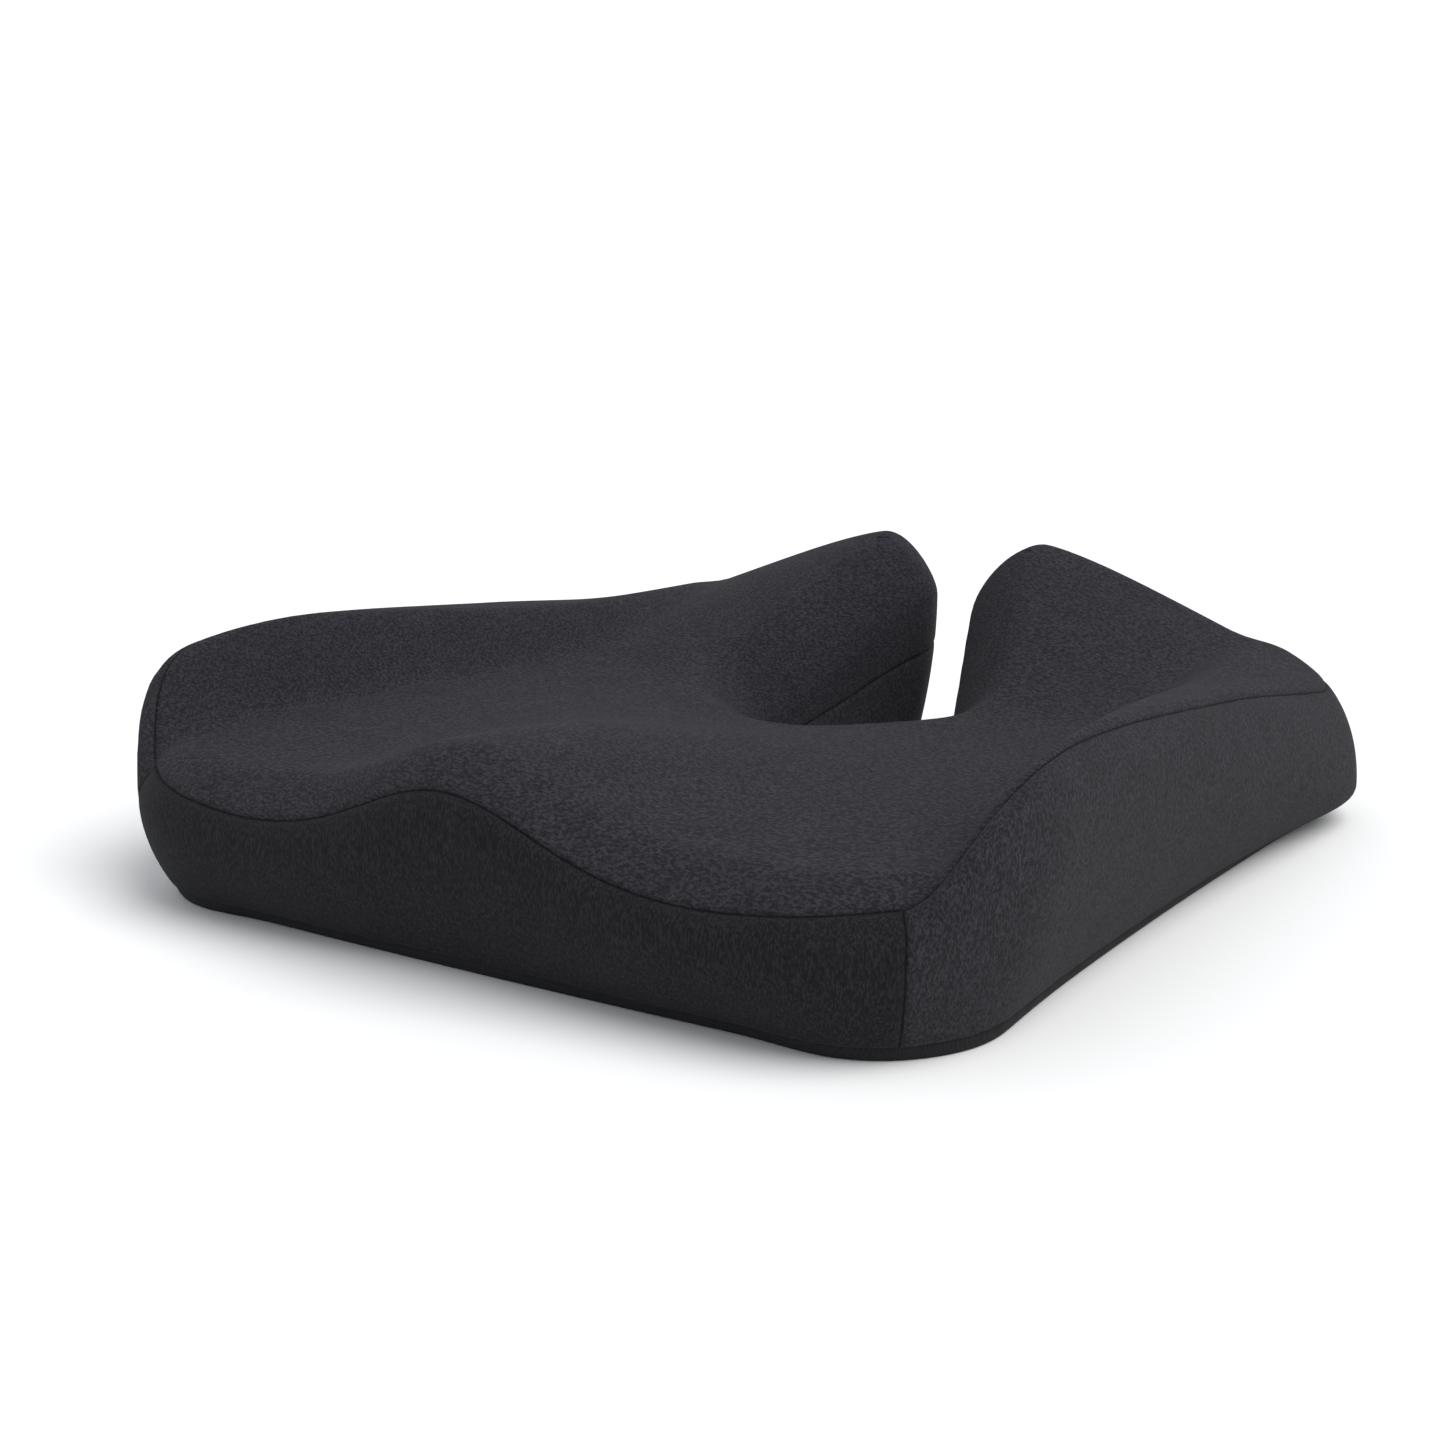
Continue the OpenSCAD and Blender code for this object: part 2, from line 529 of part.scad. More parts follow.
module cover_top_panel() { color("#3a393d") top_sheet(top_stations, 0, cover_t); }
module cover_front_band() { color("#242326") cover_band(loop_n - corner_seam_i, loop_n + corner_seam_i); }
module cover_side_band_right() { color("#343337") cover_band(corner_seam_i, rear_seam_i); }
module cover_side_band_left() { color("#343337") cover_band(loop_n - rear_seam_i, loop_n - corner_seam_i); }
module cover_rear_band_right() { color("#2c2b2e") cover_band(rear_seam_i, mouth_seam_i); }
module cover_rear_band_left() { color("#2c2b2e") cover_band(loop_n - mouth_seam_i, loop_n - rear_seam_i); }
module cover_slot_band() { color("#2c2b2e") cover_band(mouth_seam_i, loop_n - mouth_seam_i); }
module cover_base_edge() {
    points = flat_list([for (depth = [0, cover_t])
        [for (i = [0:loop_n - 1]) let (p = skin(i, 0), n = normals[i]) [p.x - n.x * depth, p.y - n.y * depth, 0]]]);
    upper = flat_list([for (share = [0.5, 1]) flat_list([for (depth = [0, cover_t])
        [for (i = [0:loop_n - 1]) under(i, edge_s[i] * share, depth)]])]);
    n = loop_n;
    faces = flat_list([for (i = [0:n - 1]) let (j = wrap(i + 1)) concat(
        quad(i, 2 * n + i, 2 * n + j, j),
        quad(2 * n + i, 4 * n + i, 4 * n + j, 2 * n + j),
        quad(n + j, 3 * n + j, 3 * n + i, n + i),
        quad(3 * n + j, 5 * n + j, 5 * n + i, 3 * n + i),
        quad(n + i, i, j, n + j),
        quad(5 * n + i, 5 * n + j, 4 * n + j, 4 * n + i))]);
    color("#1d1d1f") polyhedron(concat(points, upper), faces, 10);
}

module base_panel(side) {
    linear_extrude(base_t) difference() {
        polygon(base_outline);
        translate([0, zip_y - side * far / 2]) square([far, far + 2 * lay_gap], center = true);
        translate([0, zip_y]) square([2 * valley_half_l, 2 * valley_half_w], center = true);
    }
}
module cover_base_front() { color("#1a1a1c") base_panel(-1); }
module cover_base_rear() { color("#1a1a1c") base_panel(1); }

// One half of the tape: sewn flat on the base panel, up the side of the valley, flat to the teeth
module tape(side) {
    low = base_t + lay_gap;
    row = row_gap + tooth_w;
    shelf = 4;
    translate([0, zip_y, 0]) scale([1, side, 1]) rotate([90, 0, 90])
        linear_extrude(2 * valley_half_l - 1, center = true)
        polygon([[valley_half_w + tape_lap, low], [valley_half_w, low], [valley_half_w - shelf, tape_z],
            [row, tape_z], [row, tape_z + tape_t], [valley_half_w - shelf, tape_z + tape_t],
            [valley_half_w, low + tape_t], [valley_half_w + tape_lap, low + tape_t]]);
}
module zip_tape_front() { color("#161617") tape(-1); }
module zip_tape_rear() { color("#161617") tape(1); }

module teeth(side, shift) {
    count = floor(zip_l / tooth_pitch) - 1;
    first = (tooth_pitch - zip_l) / 2 + shift;
    for (k = [0:count])
        translate([first + k * tooth_pitch - tooth_l / 2, zip_y, tooth_z])
            translate([0, side > 0 ? row_gap : -row_gap - tooth_w, 0]) cube([tooth_l, tooth_w, tooth_h]);
}
module zip_teeth_front() { color("#1f1f22") teeth(-1, -tooth_pitch / 4); }
module zip_teeth_rear() { color("#1f1f22") teeth(1, tooth_pitch / 4); }

stop_l = 3;
stop_x = zip_l / 2 + 0.8;
module zip_top_stops() {
    color("#1f1f22") for (y = [row_gap, -row_gap - tooth_w])
        translate([stop_x, zip_y + y, tooth_z]) cube([stop_l, tooth_w, tooth_h]);
}
module zip_bottom_stop() {
    row = row_gap + tooth_w;
    color("#1f1f22") translate([-stop_x - stop_l, zip_y - row, tooth_z]) cube([stop_l, 2 * row, tooth_h]);
}

// Slider: two plates joined by a thin web that runs between the rows, with lugs for the pull below
slider_x = (zip_l - slider_l) / 2;
slider_half_w = row_gap + tooth_w + slider_gap + flange_w;
slider_low = slider_in_low - slider_plate;
pin_z = slider_low - 0.2 - eye_r;
eye_half_w = 1.4;
lug_in = eye_half_w + 0.2;
lug_t = 1;
web_half_t = row_gap - slider_gap;
module zip_slider() {
    low_flange = tape_z - slider_gap - slider_in_low;
    high_flange = slider_in_high - (tape_z + tape_t + slider_gap);
    nose = slider_half_w / 2;
    module plate(z) {
        translate([0, 0, z]) linear_extrude(slider_plate) {
            translate([-slider_l / 2, -slider_half_w]) square([slider_l - nose, 2 * slider_half_w]);
            translate([slider_l / 2 - nose, -nose]) square([nose, 2 * nose]);
            for (y = [-nose, nose]) translate([slider_l / 2 - nose, y]) circle(r = nose, $fn = 48);
        }
    }
    module flange(y, z, h) {
        translate([-slider_l / 2, y, z]) cube([slider_l - nose, flange_w, h]);
    }
    color("#6f7175") translate([slider_x, zip_y, 0]) {
        plate(slider_low);
        plate(slider_in_high);
        for (y = [-slider_half_w, slider_half_w - flange_w]) {
            flange(y, slider_in_low, low_flange);
            flange(y, tape_z + tape_t + slider_gap, high_flange);
        }
        translate([slider_l / 2 - nose, -web_half_t, slider_in_low])
            cube([nose * 0.8, 2 * web_half_t, slider_in_high - slider_in_low]);
        for (y = [-lug_in - lug_t, lug_in]) {
            translate([-eye_r, y, pin_z]) cube([2 * eye_r, lug_t, slider_low - pin_z]);
            translate([0, y, pin_z]) rotate([-90, 0, 0]) cylinder(r = eye_r, h = lug_t, $fn = 48);
        }
        translate([0, -lug_in - lug_t / 2, pin_z]) rotate([-90, 0, 0])
            cylinder(r = pin_r, h = 2 * lug_in + lug_t, $fn = 48);
    }
}

module zip_pull_tab() {
    neck_l = 3.4;
    hole_r = 1.5;
    end_r = tab_w / 2;
    color("#7c7e82") translate([slider_x, zip_y, pin_z]) difference() {
        union() {
            rotate([90, 0, 0]) cylinder(r = eye_r, h = 2 * eye_half_w, center = true, $fn = 48);
            translate([-neck_l, -eye_half_w, -tab_t / 2]) cube([neck_l, 2 * eye_half_w, tab_t]);
            translate([end_r - tab_l, -end_r, -tab_t / 2]) cube([tab_l - end_r - neck_l, tab_w, tab_t]);
            translate([end_r - tab_l, 0, 0]) cylinder(r = end_r, h = tab_t, center = true, $fn = 64);
        }
        rotate([90, 0, 0]) cylinder(r = pin_r + pin_gap, h = tab_w, center = true, $fn = 48);
        translate([end_r - tab_l, 0, 0]) cylinder(r = hole_r, h = 2 * tab_t, center = true, $fn = 48);
    }
}

module top_seam_thread() { color("#111112") loop_thread(seam_s); }
module corner_seam_threads() {
    color("#111112") for (line = [corner_seam_i, rear_seam_i, mouth_seam_i]) {
        corner_thread(line);
        corner_thread(-line);
    }
}
module base_seam_thread() { color("#111112") loop_thread(edge_s); }

foam_core();
inner_liner_top();
inner_liner_base();
cover_top_panel();
cover_front_band();
cover_side_band_right();
cover_side_band_left();
cover_rear_band_right();
cover_rear_band_left();
cover_slot_band();
cover_base_edge();
cover_base_front();
cover_base_rear();
zip_tape_front();
zip_tape_rear();
zip_teeth_front();
zip_teeth_rear();
zip_top_stops();
zip_bottom_stop();
zip_slider();
zip_pull_tab();
top_seam_thread();
corner_seam_threads();
base_seam_thread();
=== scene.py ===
import math
import bmesh
import bpy
import numpy as np
from mathutils import Matrix, Vector


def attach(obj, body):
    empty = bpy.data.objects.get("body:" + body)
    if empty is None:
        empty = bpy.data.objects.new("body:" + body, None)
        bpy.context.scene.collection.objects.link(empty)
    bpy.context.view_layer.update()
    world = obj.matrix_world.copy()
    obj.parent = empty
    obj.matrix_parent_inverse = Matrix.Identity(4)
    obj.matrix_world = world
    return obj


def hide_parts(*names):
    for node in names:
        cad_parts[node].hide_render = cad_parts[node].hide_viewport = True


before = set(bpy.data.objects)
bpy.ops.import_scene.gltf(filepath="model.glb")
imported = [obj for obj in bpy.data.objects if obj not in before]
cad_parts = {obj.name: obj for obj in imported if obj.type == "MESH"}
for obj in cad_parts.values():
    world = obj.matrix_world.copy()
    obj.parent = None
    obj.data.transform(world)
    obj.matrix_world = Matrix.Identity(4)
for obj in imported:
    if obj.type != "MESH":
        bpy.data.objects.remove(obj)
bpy.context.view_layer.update()  # bodies, nodes, joints, record
mm = 0.001
scene = bpy.context.scene

# The cushion's form, in millimetres. A tag counts the stretches of half its outline: 0 front,
# 1 front corner, 2 side, 3 rear corner, 4 rear, 5 mouth corner, 6 slot side, 7 to 8 slot end.
cushion = {
    "width": 450, "depth": 444, "frontBow": 6.5, "waist": 2,
    "frontCorner": 81, "rearCorner": 53, "neck": 13, "slotEnd": 52, "slotEndY": 33, "mouth": 37,
    "lean": 23.5, "leanPower": 1.9, "wallLeast": 14,
    "seat": 68.5, "ridge": 28.5, "ridgeWidth": 59, "ridgeFade": 0.54,
    "bolsterFront": 44.5, "bolsterRear": -1, "bolsterStart": 0.84, "bolsterFade": 1.23,
    "bolsterStartRear": 0.66, "bolsterEndRear": 0.8, "bolsterShift": 0.8,
    "wingInner": 79.5, "wingOuter": -14.5, "wingStart": 0.61,
    "drop": 10, "dropWidth": 51, "dish": 6.5, "dishX": 100, "dishY": 39, "dishWidth": 70, "dishLength": 80,
    "lines": [9, 7, 9, 5, 4, 5, 9, 16],  # lines of the outline on each stretch; seams are placed by line
    "planSoftening": 0.45, "tableSoftening": 0.8, "wallSoftening": 0.5,  # Gauss widths, in lines
    "rollTags": [0, 1.2, 2.3, 3, 3.5, 4.5, 5, 5.6, 6.2, 7, 7.6, 8],
    "rollWidths": [25, 25, 15, 27, 28.5, 28.5, 31, 31, 32, 32, 25.5, 25.5],
    "rollHeights": [25.5, 25.5, 24, 49, 40.5, 40.5, 44, 44, 34, 34, 18, 18],
    "fullTags": [0, 2.3, 3, 5, 5.6, 8], "fullness": [1.6, 1.6, 2.1, 2.1, 1.4, 1.4],
    "leanTags": [0, 0.9, 1.3, 1.7, 2.1, 4, 5, 6, 8], "leanShares": [1, 1, 0.65, 0.65, 1, 1, 0.6, 0.5, 0.3],
    "seamTags": [0, 0.8, 1.4, 1.8, 2.2, 2.6, 3.3, 4.2, 4.6, 5.6, 8],
    "seamAngles": [27.5, 27.5, 46, 46, 66, 66, 66, 50, 50, -30, -30],
    "spinePull": 60, "spineStep": 1.5, "spineLean": 0.3,
    "edgeHeight": 5.5, "cornerSeam": 12, "rearSeam": 30, "mouthSeam": 37,
}
midY = cushion["frontBow"] / 2
halfWidth, halfDepth = cushion["width"] / 2, cushion["depth"] / 2
stretchStarts = np.cumsum([0] + cushion["lines"])
halfLoop = int(stretchStarts[-1])
loopLength = 2 * halfLoop


def ramp(t, a, b):
    # Smooth step from 0 at a to 1 at b: 3x^2 - 2x^3
    x = np.clip((t - a) / (b - a), 0, 1)
    return x * x * (3 - 2 * x)


def mix(a, b, t):
    # Straight blend from a at 0 to b at 1: a (1 - t) + b t
    return a * (1 - t) + b * t


def bell(x, width):
    # Gauss bell: exp(-(x / width)^2)
    return np.exp(-(x / width) ** 2)


def seatHeight(x, y):
    # Height of the seat surface: a plane plus ridge, bolsters and wings, less the drop and the hollows
    c = cushion
    u = np.abs(x) / halfWidth
    v = (y - midY + halfDepth) / c["depth"]
    ridge = c["ridge"] * bell(x, c["ridgeWidth"]) * (1 - ramp(v, 0, c["ridgeFade"]))
    shift = ramp(v, 0, c["bolsterShift"])
    rise = ramp(u, mix(c["bolsterStart"], c["bolsterStartRear"], shift), mix(1, c["bolsterEndRear"], shift))
    bolster = mix(c["bolsterFront"], c["bolsterRear"], ramp(v, 0, c["bolsterFade"])) * rise
    wing = mix(c["wingInner"], c["wingOuter"], np.clip(u, 0, 1)) * ramp(v, c["wingStart"], 1)
    drop = c["drop"] * bell(x, c["dropWidth"]) * ramp(v, 0.2, 0.6)
    hollow = c["dish"] * bell(np.abs(x) - c["dishX"], c["dishWidth"])
    hollow = hollow * bell(y - midY - c["dishY"], c["dishLength"])
    return c["seat"] + ridge + bolster + wing - drop - hollow


def halfOutline(tau):
    # Plan of the right half: straight runs and arcs end to end, from the front's middle to the slot's end
    c = cushion
    w, d = halfWidth, halfDepth
    fc, rc, mo, se = c["frontCorner"], c["rearCorner"], c["mouth"], c["slotEnd"]
    run = np.clip(np.searchsorted(stretchStarts, tau, side="right") - 1, 0, 7)
    k = (tau - stretchStarts[run]) / np.array(c["lines"])[run]

    def line(ax, ay, bx, by):
        return mix(ax, bx, k), mix(ay, by, k)

    def arc(cx, cy, r, start, end):
        turn = np.radians(mix(start, end, k))
        return cx + r * np.cos(turn), cy + r * np.sin(turn)

    runs = [line(0, -d, w - fc, -d), arc(w - fc, fc - d, fc, -90, 0), line(w, fc - d, w, d - rc),
            arc(w - rc, d - rc, rc, 0, 90), line(w - rc, d, c["neck"] + mo, d),
            arc(c["neck"] + mo, d - mo, mo, 90, 180), line(c["neck"], d - mo, se, c["slotEndY"] + se),
            arc(0, c["slotEndY"] + se, se, 0, -90)]
    x, y = np.choose(run, [r[0] for r in runs]), np.choose(run, [r[1] for r in runs])
    u = np.abs(x) / w
    fromMiddle = np.clip(np.abs(y) / (0.4 * c["depth"]), 0, 1)
    drawn = c["waist"] * np.cos(math.pi / 2 * fromMiddle) ** 2 * ramp(u, 0.6, 1)
    bowed = c["frontBow"] * (1 - u * u) * ramp(-y / d, 0, 1)
    return x - drawn, y - bowed + midY, run + k


def smoothLoop(values, sigma, step):
    # Gauss average round the closed loop, sigma in outline points
    reach = int(3 * sigma / step)
    weights = np.exp(-0.5 * (np.arange(-reach, reach + 1) * step / sigma) ** 2)
    padded = np.concatenate([values[-reach:], values, values[:reach]])
    return np.convolve(padded, weights / weights.sum(), "valid")


def buildLoop(step=0.1):
    # Everything that belongs to a line of the outline, sampled evenly round the whole loop
    c = cushion
    tau = np.arange(0, halfLoop + step / 2, step)
    x, y, tag = halfOutline(tau)

    def full(values, sign=1):
        return np.concatenate([values, sign * values[-2:0:-1]])

    def table(tags, values):
        return smoothLoop(np.interp(full(tag), tags, values), c["tableSoftening"], step)

    loop = {"x": smoothLoop(full(x, -1), c["planSoftening"], step)}
    loop["y"] = smoothLoop(full(y), c["planSoftening"], step)
    loop["rollW"] = table(c["rollTags"], c["rollWidths"])
    rollH = table(c["rollTags"], c["rollHeights"])
    rim = seatHeight(loop["x"], loop["y"])
    loop["rollH"] = smoothLoop(np.minimum(rollH, rim - c["wallLeast"]), c["wallSoftening"], step)
    loop["wallH"] = rim - loop["rollH"]
    loop["power"] = 2 / table(c["fullTags"], c["fullness"])
    loop["lean"] = c["lean"] * table(c["leanTags"], c["leanShares"])
    loop["seam"] = 1 + table(c["seamTags"], c["seamAngles"]) / 90
    dx = np.roll(loop["x"], -1) - np.roll(loop["x"], 1)
    dy = np.roll(loop["y"], -1) - np.roll(loop["y"], 1)
    size = np.hypot(dx, dy)
    loop["nx"], loop["ny"] = dy / size, -dx / size
    loop["arc"] = np.concatenate([[0], np.cumsum(np.hypot(np.diff(loop["x"]), np.diff(loop["y"])))])
    # Middle line of the horseshoe, between each line and its partner across the foam
    m = np.minimum(tau, halfLoop - tau)
    rearLine = halfLoop / 2 - c["lines"][4] / 2
    hx, hy = loop["x"][: len(tau)], loop["y"][: len(tau)]
    ax, bx = np.interp(m, tau, hx), np.interp(halfLoop - m, tau, hx)
    ay, by = np.interp(m, tau, hy), np.interp(halfLoop - m, tau, hy)
    pull = c["spinePull"] * ramp(m / rearLine, 0.3, 1) - c["spineStep"] * np.maximum(m - rearLine, 0)
    share = 0.5 + c["spineLean"] * ramp(m / rearLine, 0, 0.55)
    loop["midX"], loop["midY"] = full((ax + bx) / 2, -1), full(mix(ay, by, share) - pull)
    loop["u"] = np.arange(len(loop["x"])) * step
    return loop


loop = buildLoop()
print("outline worked out,", round(loop["arc"][-1]), "mm round")


def atLine(key, u):
    # A value of the loop at any place round it, straight between two samples
    return np.interp(u, loop["u"], loop[key], period=loopLength)


def skin(u, s):
    # Outer surface. s runs 0 to 1 up the leaning wall, 1 to 2 over the edge roll, 2 to 3 to the middle line
    c = cushion
    x, y, nx, ny = (atLine(k, u) for k in ("x", "y", "nx", "ny"))
    out = -atLine("lean", u) * (1 - np.clip(s, 0, 1)) ** c["leanPower"]
    a = math.pi / 2 * np.clip(s - 1, 0, 1)
    power = atLine("power", u)
    inset = atLine("rollW", u) * (1 - np.clip(np.cos(a), 0, 1) ** power)
    rollX, rollY = x + nx * (out - inset), y + ny * (out - inset)
    t = np.clip(s - 2, 0, 1)
    px, py = mix(rollX, atLine("midX", u), t), mix(rollY, atLine("midY", u), t)
    rollZ = seatHeight(px, py) - atLine("rollH", u) * (1 - np.sin(a) ** power)
    z = np.where(s < 1, atLine("wallH", u) * np.clip(s, 0, 1), rollZ)
    return np.stack([px, py, z], -1)


def skinNormal(u, s):
    # Outward normal. On the wall it is square to the steps along and up. On the roll and the top it is the
    # seat's own normal * sin(a)^q + outward * (height / width) * cos(a)^q, with q = 2 - power
    du, ds = 0.04, 0.01
    across = skin(u + du, s) - skin(u - du, s)
    up = skin(u, np.minimum(s + ds, 3)) - skin(u, np.maximum(s - ds, 0))
    wall = np.cross(across, up)
    x, y = skin(u, s)[..., 0], skin(u, s)[..., 1]
    seat = np.stack([seatHeight(x - 0.5, y) - seatHeight(x + 0.5, y),
                     seatHeight(x, y - 0.5) - seatHeight(x, y + 0.5), np.ones_like(x)], -1)
    a = math.pi / 2 * np.clip(s - 1, 0, 1)
    q = 2 - atLine("power", u)
    steep = atLine("rollH", u) / atLine("rollW", u) * np.clip(np.cos(a), 0, 1) ** q
    outward = np.stack([atLine("nx", u) + 0 * x, atLine("ny", u) + 0 * x, 0 * x], -1)
    n = np.where((s <= 1)[..., None], wall, seat * (np.sin(a) ** q)[..., None] + outward * steep[..., None])
    return n / np.linalg.norm(n, axis=-1, keepdims=True)


def wallStation(u, height):
    # Station on the wall at a height: height / height of the wall
    return height / atLine("wallH", u)


stationStep = 0.005


def surfaceLengths(u):
    # Length up each line's surface from the floor: a sum of short chords, one row for each station
    points = skin(u[None, :], np.arange(0, 3 + stationStep / 2, stationStep)[:, None])
    chords = np.linalg.norm(np.diff(points, axis=0), axis=-1)
    return np.vstack([np.zeros(len(u)), np.cumsum(chords, axis=0)])


def lengthAt(lengths, s):
    # A grid of stations read from its columns' tables, straight between two entries
    k = np.clip((s / stationStep).astype(int), 0, len(lengths) - 2)
    column = np.broadcast_to(np.arange(s.shape[1]), s.shape)
    return mix(lengths[k, column], lengths[k + 1, column], s / stationStep - k)


def stationAt(lengths, wanted):
    # The same tables read backwards, each column set apart by more than the greatest length
    apart = lengths.max() + 1
    column = np.arange(lengths.shape[1])
    keys = (lengths + column * apart).T.ravel()
    stations = np.tile(np.arange(len(lengths)) * stationStep, lengths.shape[1])
    return np.interp(wanted + column * apart, keys, stations)


cloth = {"thickness": 1.5, "squeezed": 0.25, "creaseDepth": 1.3, "creaseReach": 3.4,
         "pucker": 0.22, "puckerPitch": 19, "finePuckerPitch": 3.4,
         "nearSeam": [0, 0.3, 0.65, 1.1, 1.7, 2.5, 3.5]}
nearSeam = np.array(cloth["nearSeam"])[:, None]  # millimetres from a seam to each row beside it


def lineGap(u, line):
    # Length along the outline to a seam that runs up a line, the shorter way round
    total = atLine("arc", loopLength - 0.1)
    gap = atLine("arc", u) - atLine("arc", line)
    return np.abs((gap + total / 2) % total - total / 2)


def pressed(u, s, gap):
    # Outer and inner face of the cloth. A seam pulls the outer face in by depth * (1 - gap / reach)^2,
    # a little more and less along it, and squeezes the cloth there
    normal, place = skinNormal(u, s), skin(u, s)
    run = atLine("arc", u) * 2 * math.pi / cloth["puckerPitch"]
    pull = cloth["creaseDepth"] * (1 + cloth["pucker"] * np.sin(run) * np.cos(0.37 * run))
    depth = pull * np.clip(1 - gap / cloth["creaseReach"], 0, 1) ** 2
    under = np.maximum(cloth["thickness"], depth + cloth["squeezed"])
    return place - normal * depth[..., None], place - normal * under[..., None]


def lineSamples(step, close):
    # Lines of the outline that carry vertices: even, closer beside a seam, the same from both ends
    tau = list(np.arange(0, halfLoop + step / 2, step))
    for seam in (cushion["cornerSeam"], cushion["rearSeam"], cushion["mouthSeam"]):
        for centre in (seam, halfLoop - seam):
            tau += [centre + side * c for c in close for side in (-1, 1)]
    tau = np.unique(np.round(tau, 3))
    return np.concatenate([tau, loopLength - tau[-2:0:-1]])


coverLines = lineSamples(0.25, [0.02, 0.05, 0.09, 0.14, 0.2])
innerLines = lineSamples(0.5, [])


def gridQuads(rows, cols, wrapCols, start=0):
    # Quads of a grid of rows by cols, counted row by row from start
    r, c = np.meshgrid(np.arange(rows - 1), np.arange(cols if wrapCols else cols - 1), indexing="ij")
    r, c = r.ravel(), c.ravel()
    d = (c + 1) % cols
    return start + np.stack([r * cols + c, r * cols + d, (r + 1) * cols + d, (r + 1) * cols + c], 1)


def makeMesh(name, points, faces, sharp=50):
    # Millimetre points and lists of faces with three or four corners, as a smooth mesh in metres
    points = np.asarray(points, float).reshape(-1, 3) * mm
    corners = np.concatenate([f.ravel() for f in faces])
    sizes = np.concatenate([np.full(len(f), f.shape[1]) for f in faces])
    mesh = bpy.data.meshes.new(name)
    mesh.vertices.add(len(points))
    mesh.vertices.foreach_set("co", points.ravel())
    mesh.loops.add(len(corners))
    mesh.loops.foreach_set("vertex_index", corners.astype(np.int32))
    mesh.polygons.add(len(sizes))
    mesh.polygons.foreach_set("loop_start", (np.cumsum(sizes) - sizes).astype(np.int32))
    mesh.update(calc_edges=True)
    mesh.validate()
    mesh.shade_smooth()
    mesh.set_sharp_from_angle(angle=math.radians(sharp))
    return mesh


def addPiece(name, mesh, materials, node):
    # Puts a mesh in the scene for a node of the model
    for material in materials:
        mesh.materials.append(material)
    piece = bpy.data.objects.new(name, mesh)
    scene.collection.objects.link(piece)
    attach(piece, "cushion")
    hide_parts(node)
    return piece


def storeValues(mesh, name, values):
    # One number on each vertex, for a material to read
    attribute = mesh.attributes.new(name=name, type="FLOAT", domain="POINT")
    attribute.data.foreach_set("value", np.asarray(values, np.float32).ravel())


def addNode(tree, kind, inputs=None, **settings):
    # A shader node with its settings. An input is a value, or the socket that feeds it
    node = tree.nodes.new(kind)
    for key, value in settings.items():
        setattr(node, key, value)
    for key, value in (inputs or {}).items():
        if isinstance(value, bpy.types.NodeSocket):
            tree.links.new(value, node.inputs[key])
        else:
            node.inputs[key].default_value = value
    return node


def linear(hexColour):
    # sRGB hex to linear light, as IEC 61966-2-1 gives it
    v = np.array([int(hexColour[i:i + 2], 16) for i in (1, 3, 5)]) / 255
    v = np.where(v <= 0.04045, v / 12.92, ((v + 0.055) / 1.055) ** 2.4)
    return (*v, 1.0)


def newMaterial(name, roughness, metallic=0.0, ior=1.5, sheen=0.0, sheenRoughness=0.5, specular=0.5):
    # A material whose constants are set on the shader's own sockets
    material = bpy.data.materials.new(name)
    material.use_nodes = True
    tree = material.node_tree
    shader = tree.nodes["Principled BSDF"]
    shader.inputs["Roughness"].default_value = roughness
    shader.inputs["Metallic"].default_value = metallic
    shader.inputs["IOR"].default_value = ior
    shader.inputs["Sheen Weight"].default_value = sheen
    shader.inputs["Sheen Roughness"].default_value = sheenRoughness
    shader.inputs["Specular IOR Level"].default_value = specular
    return material, tree, shader


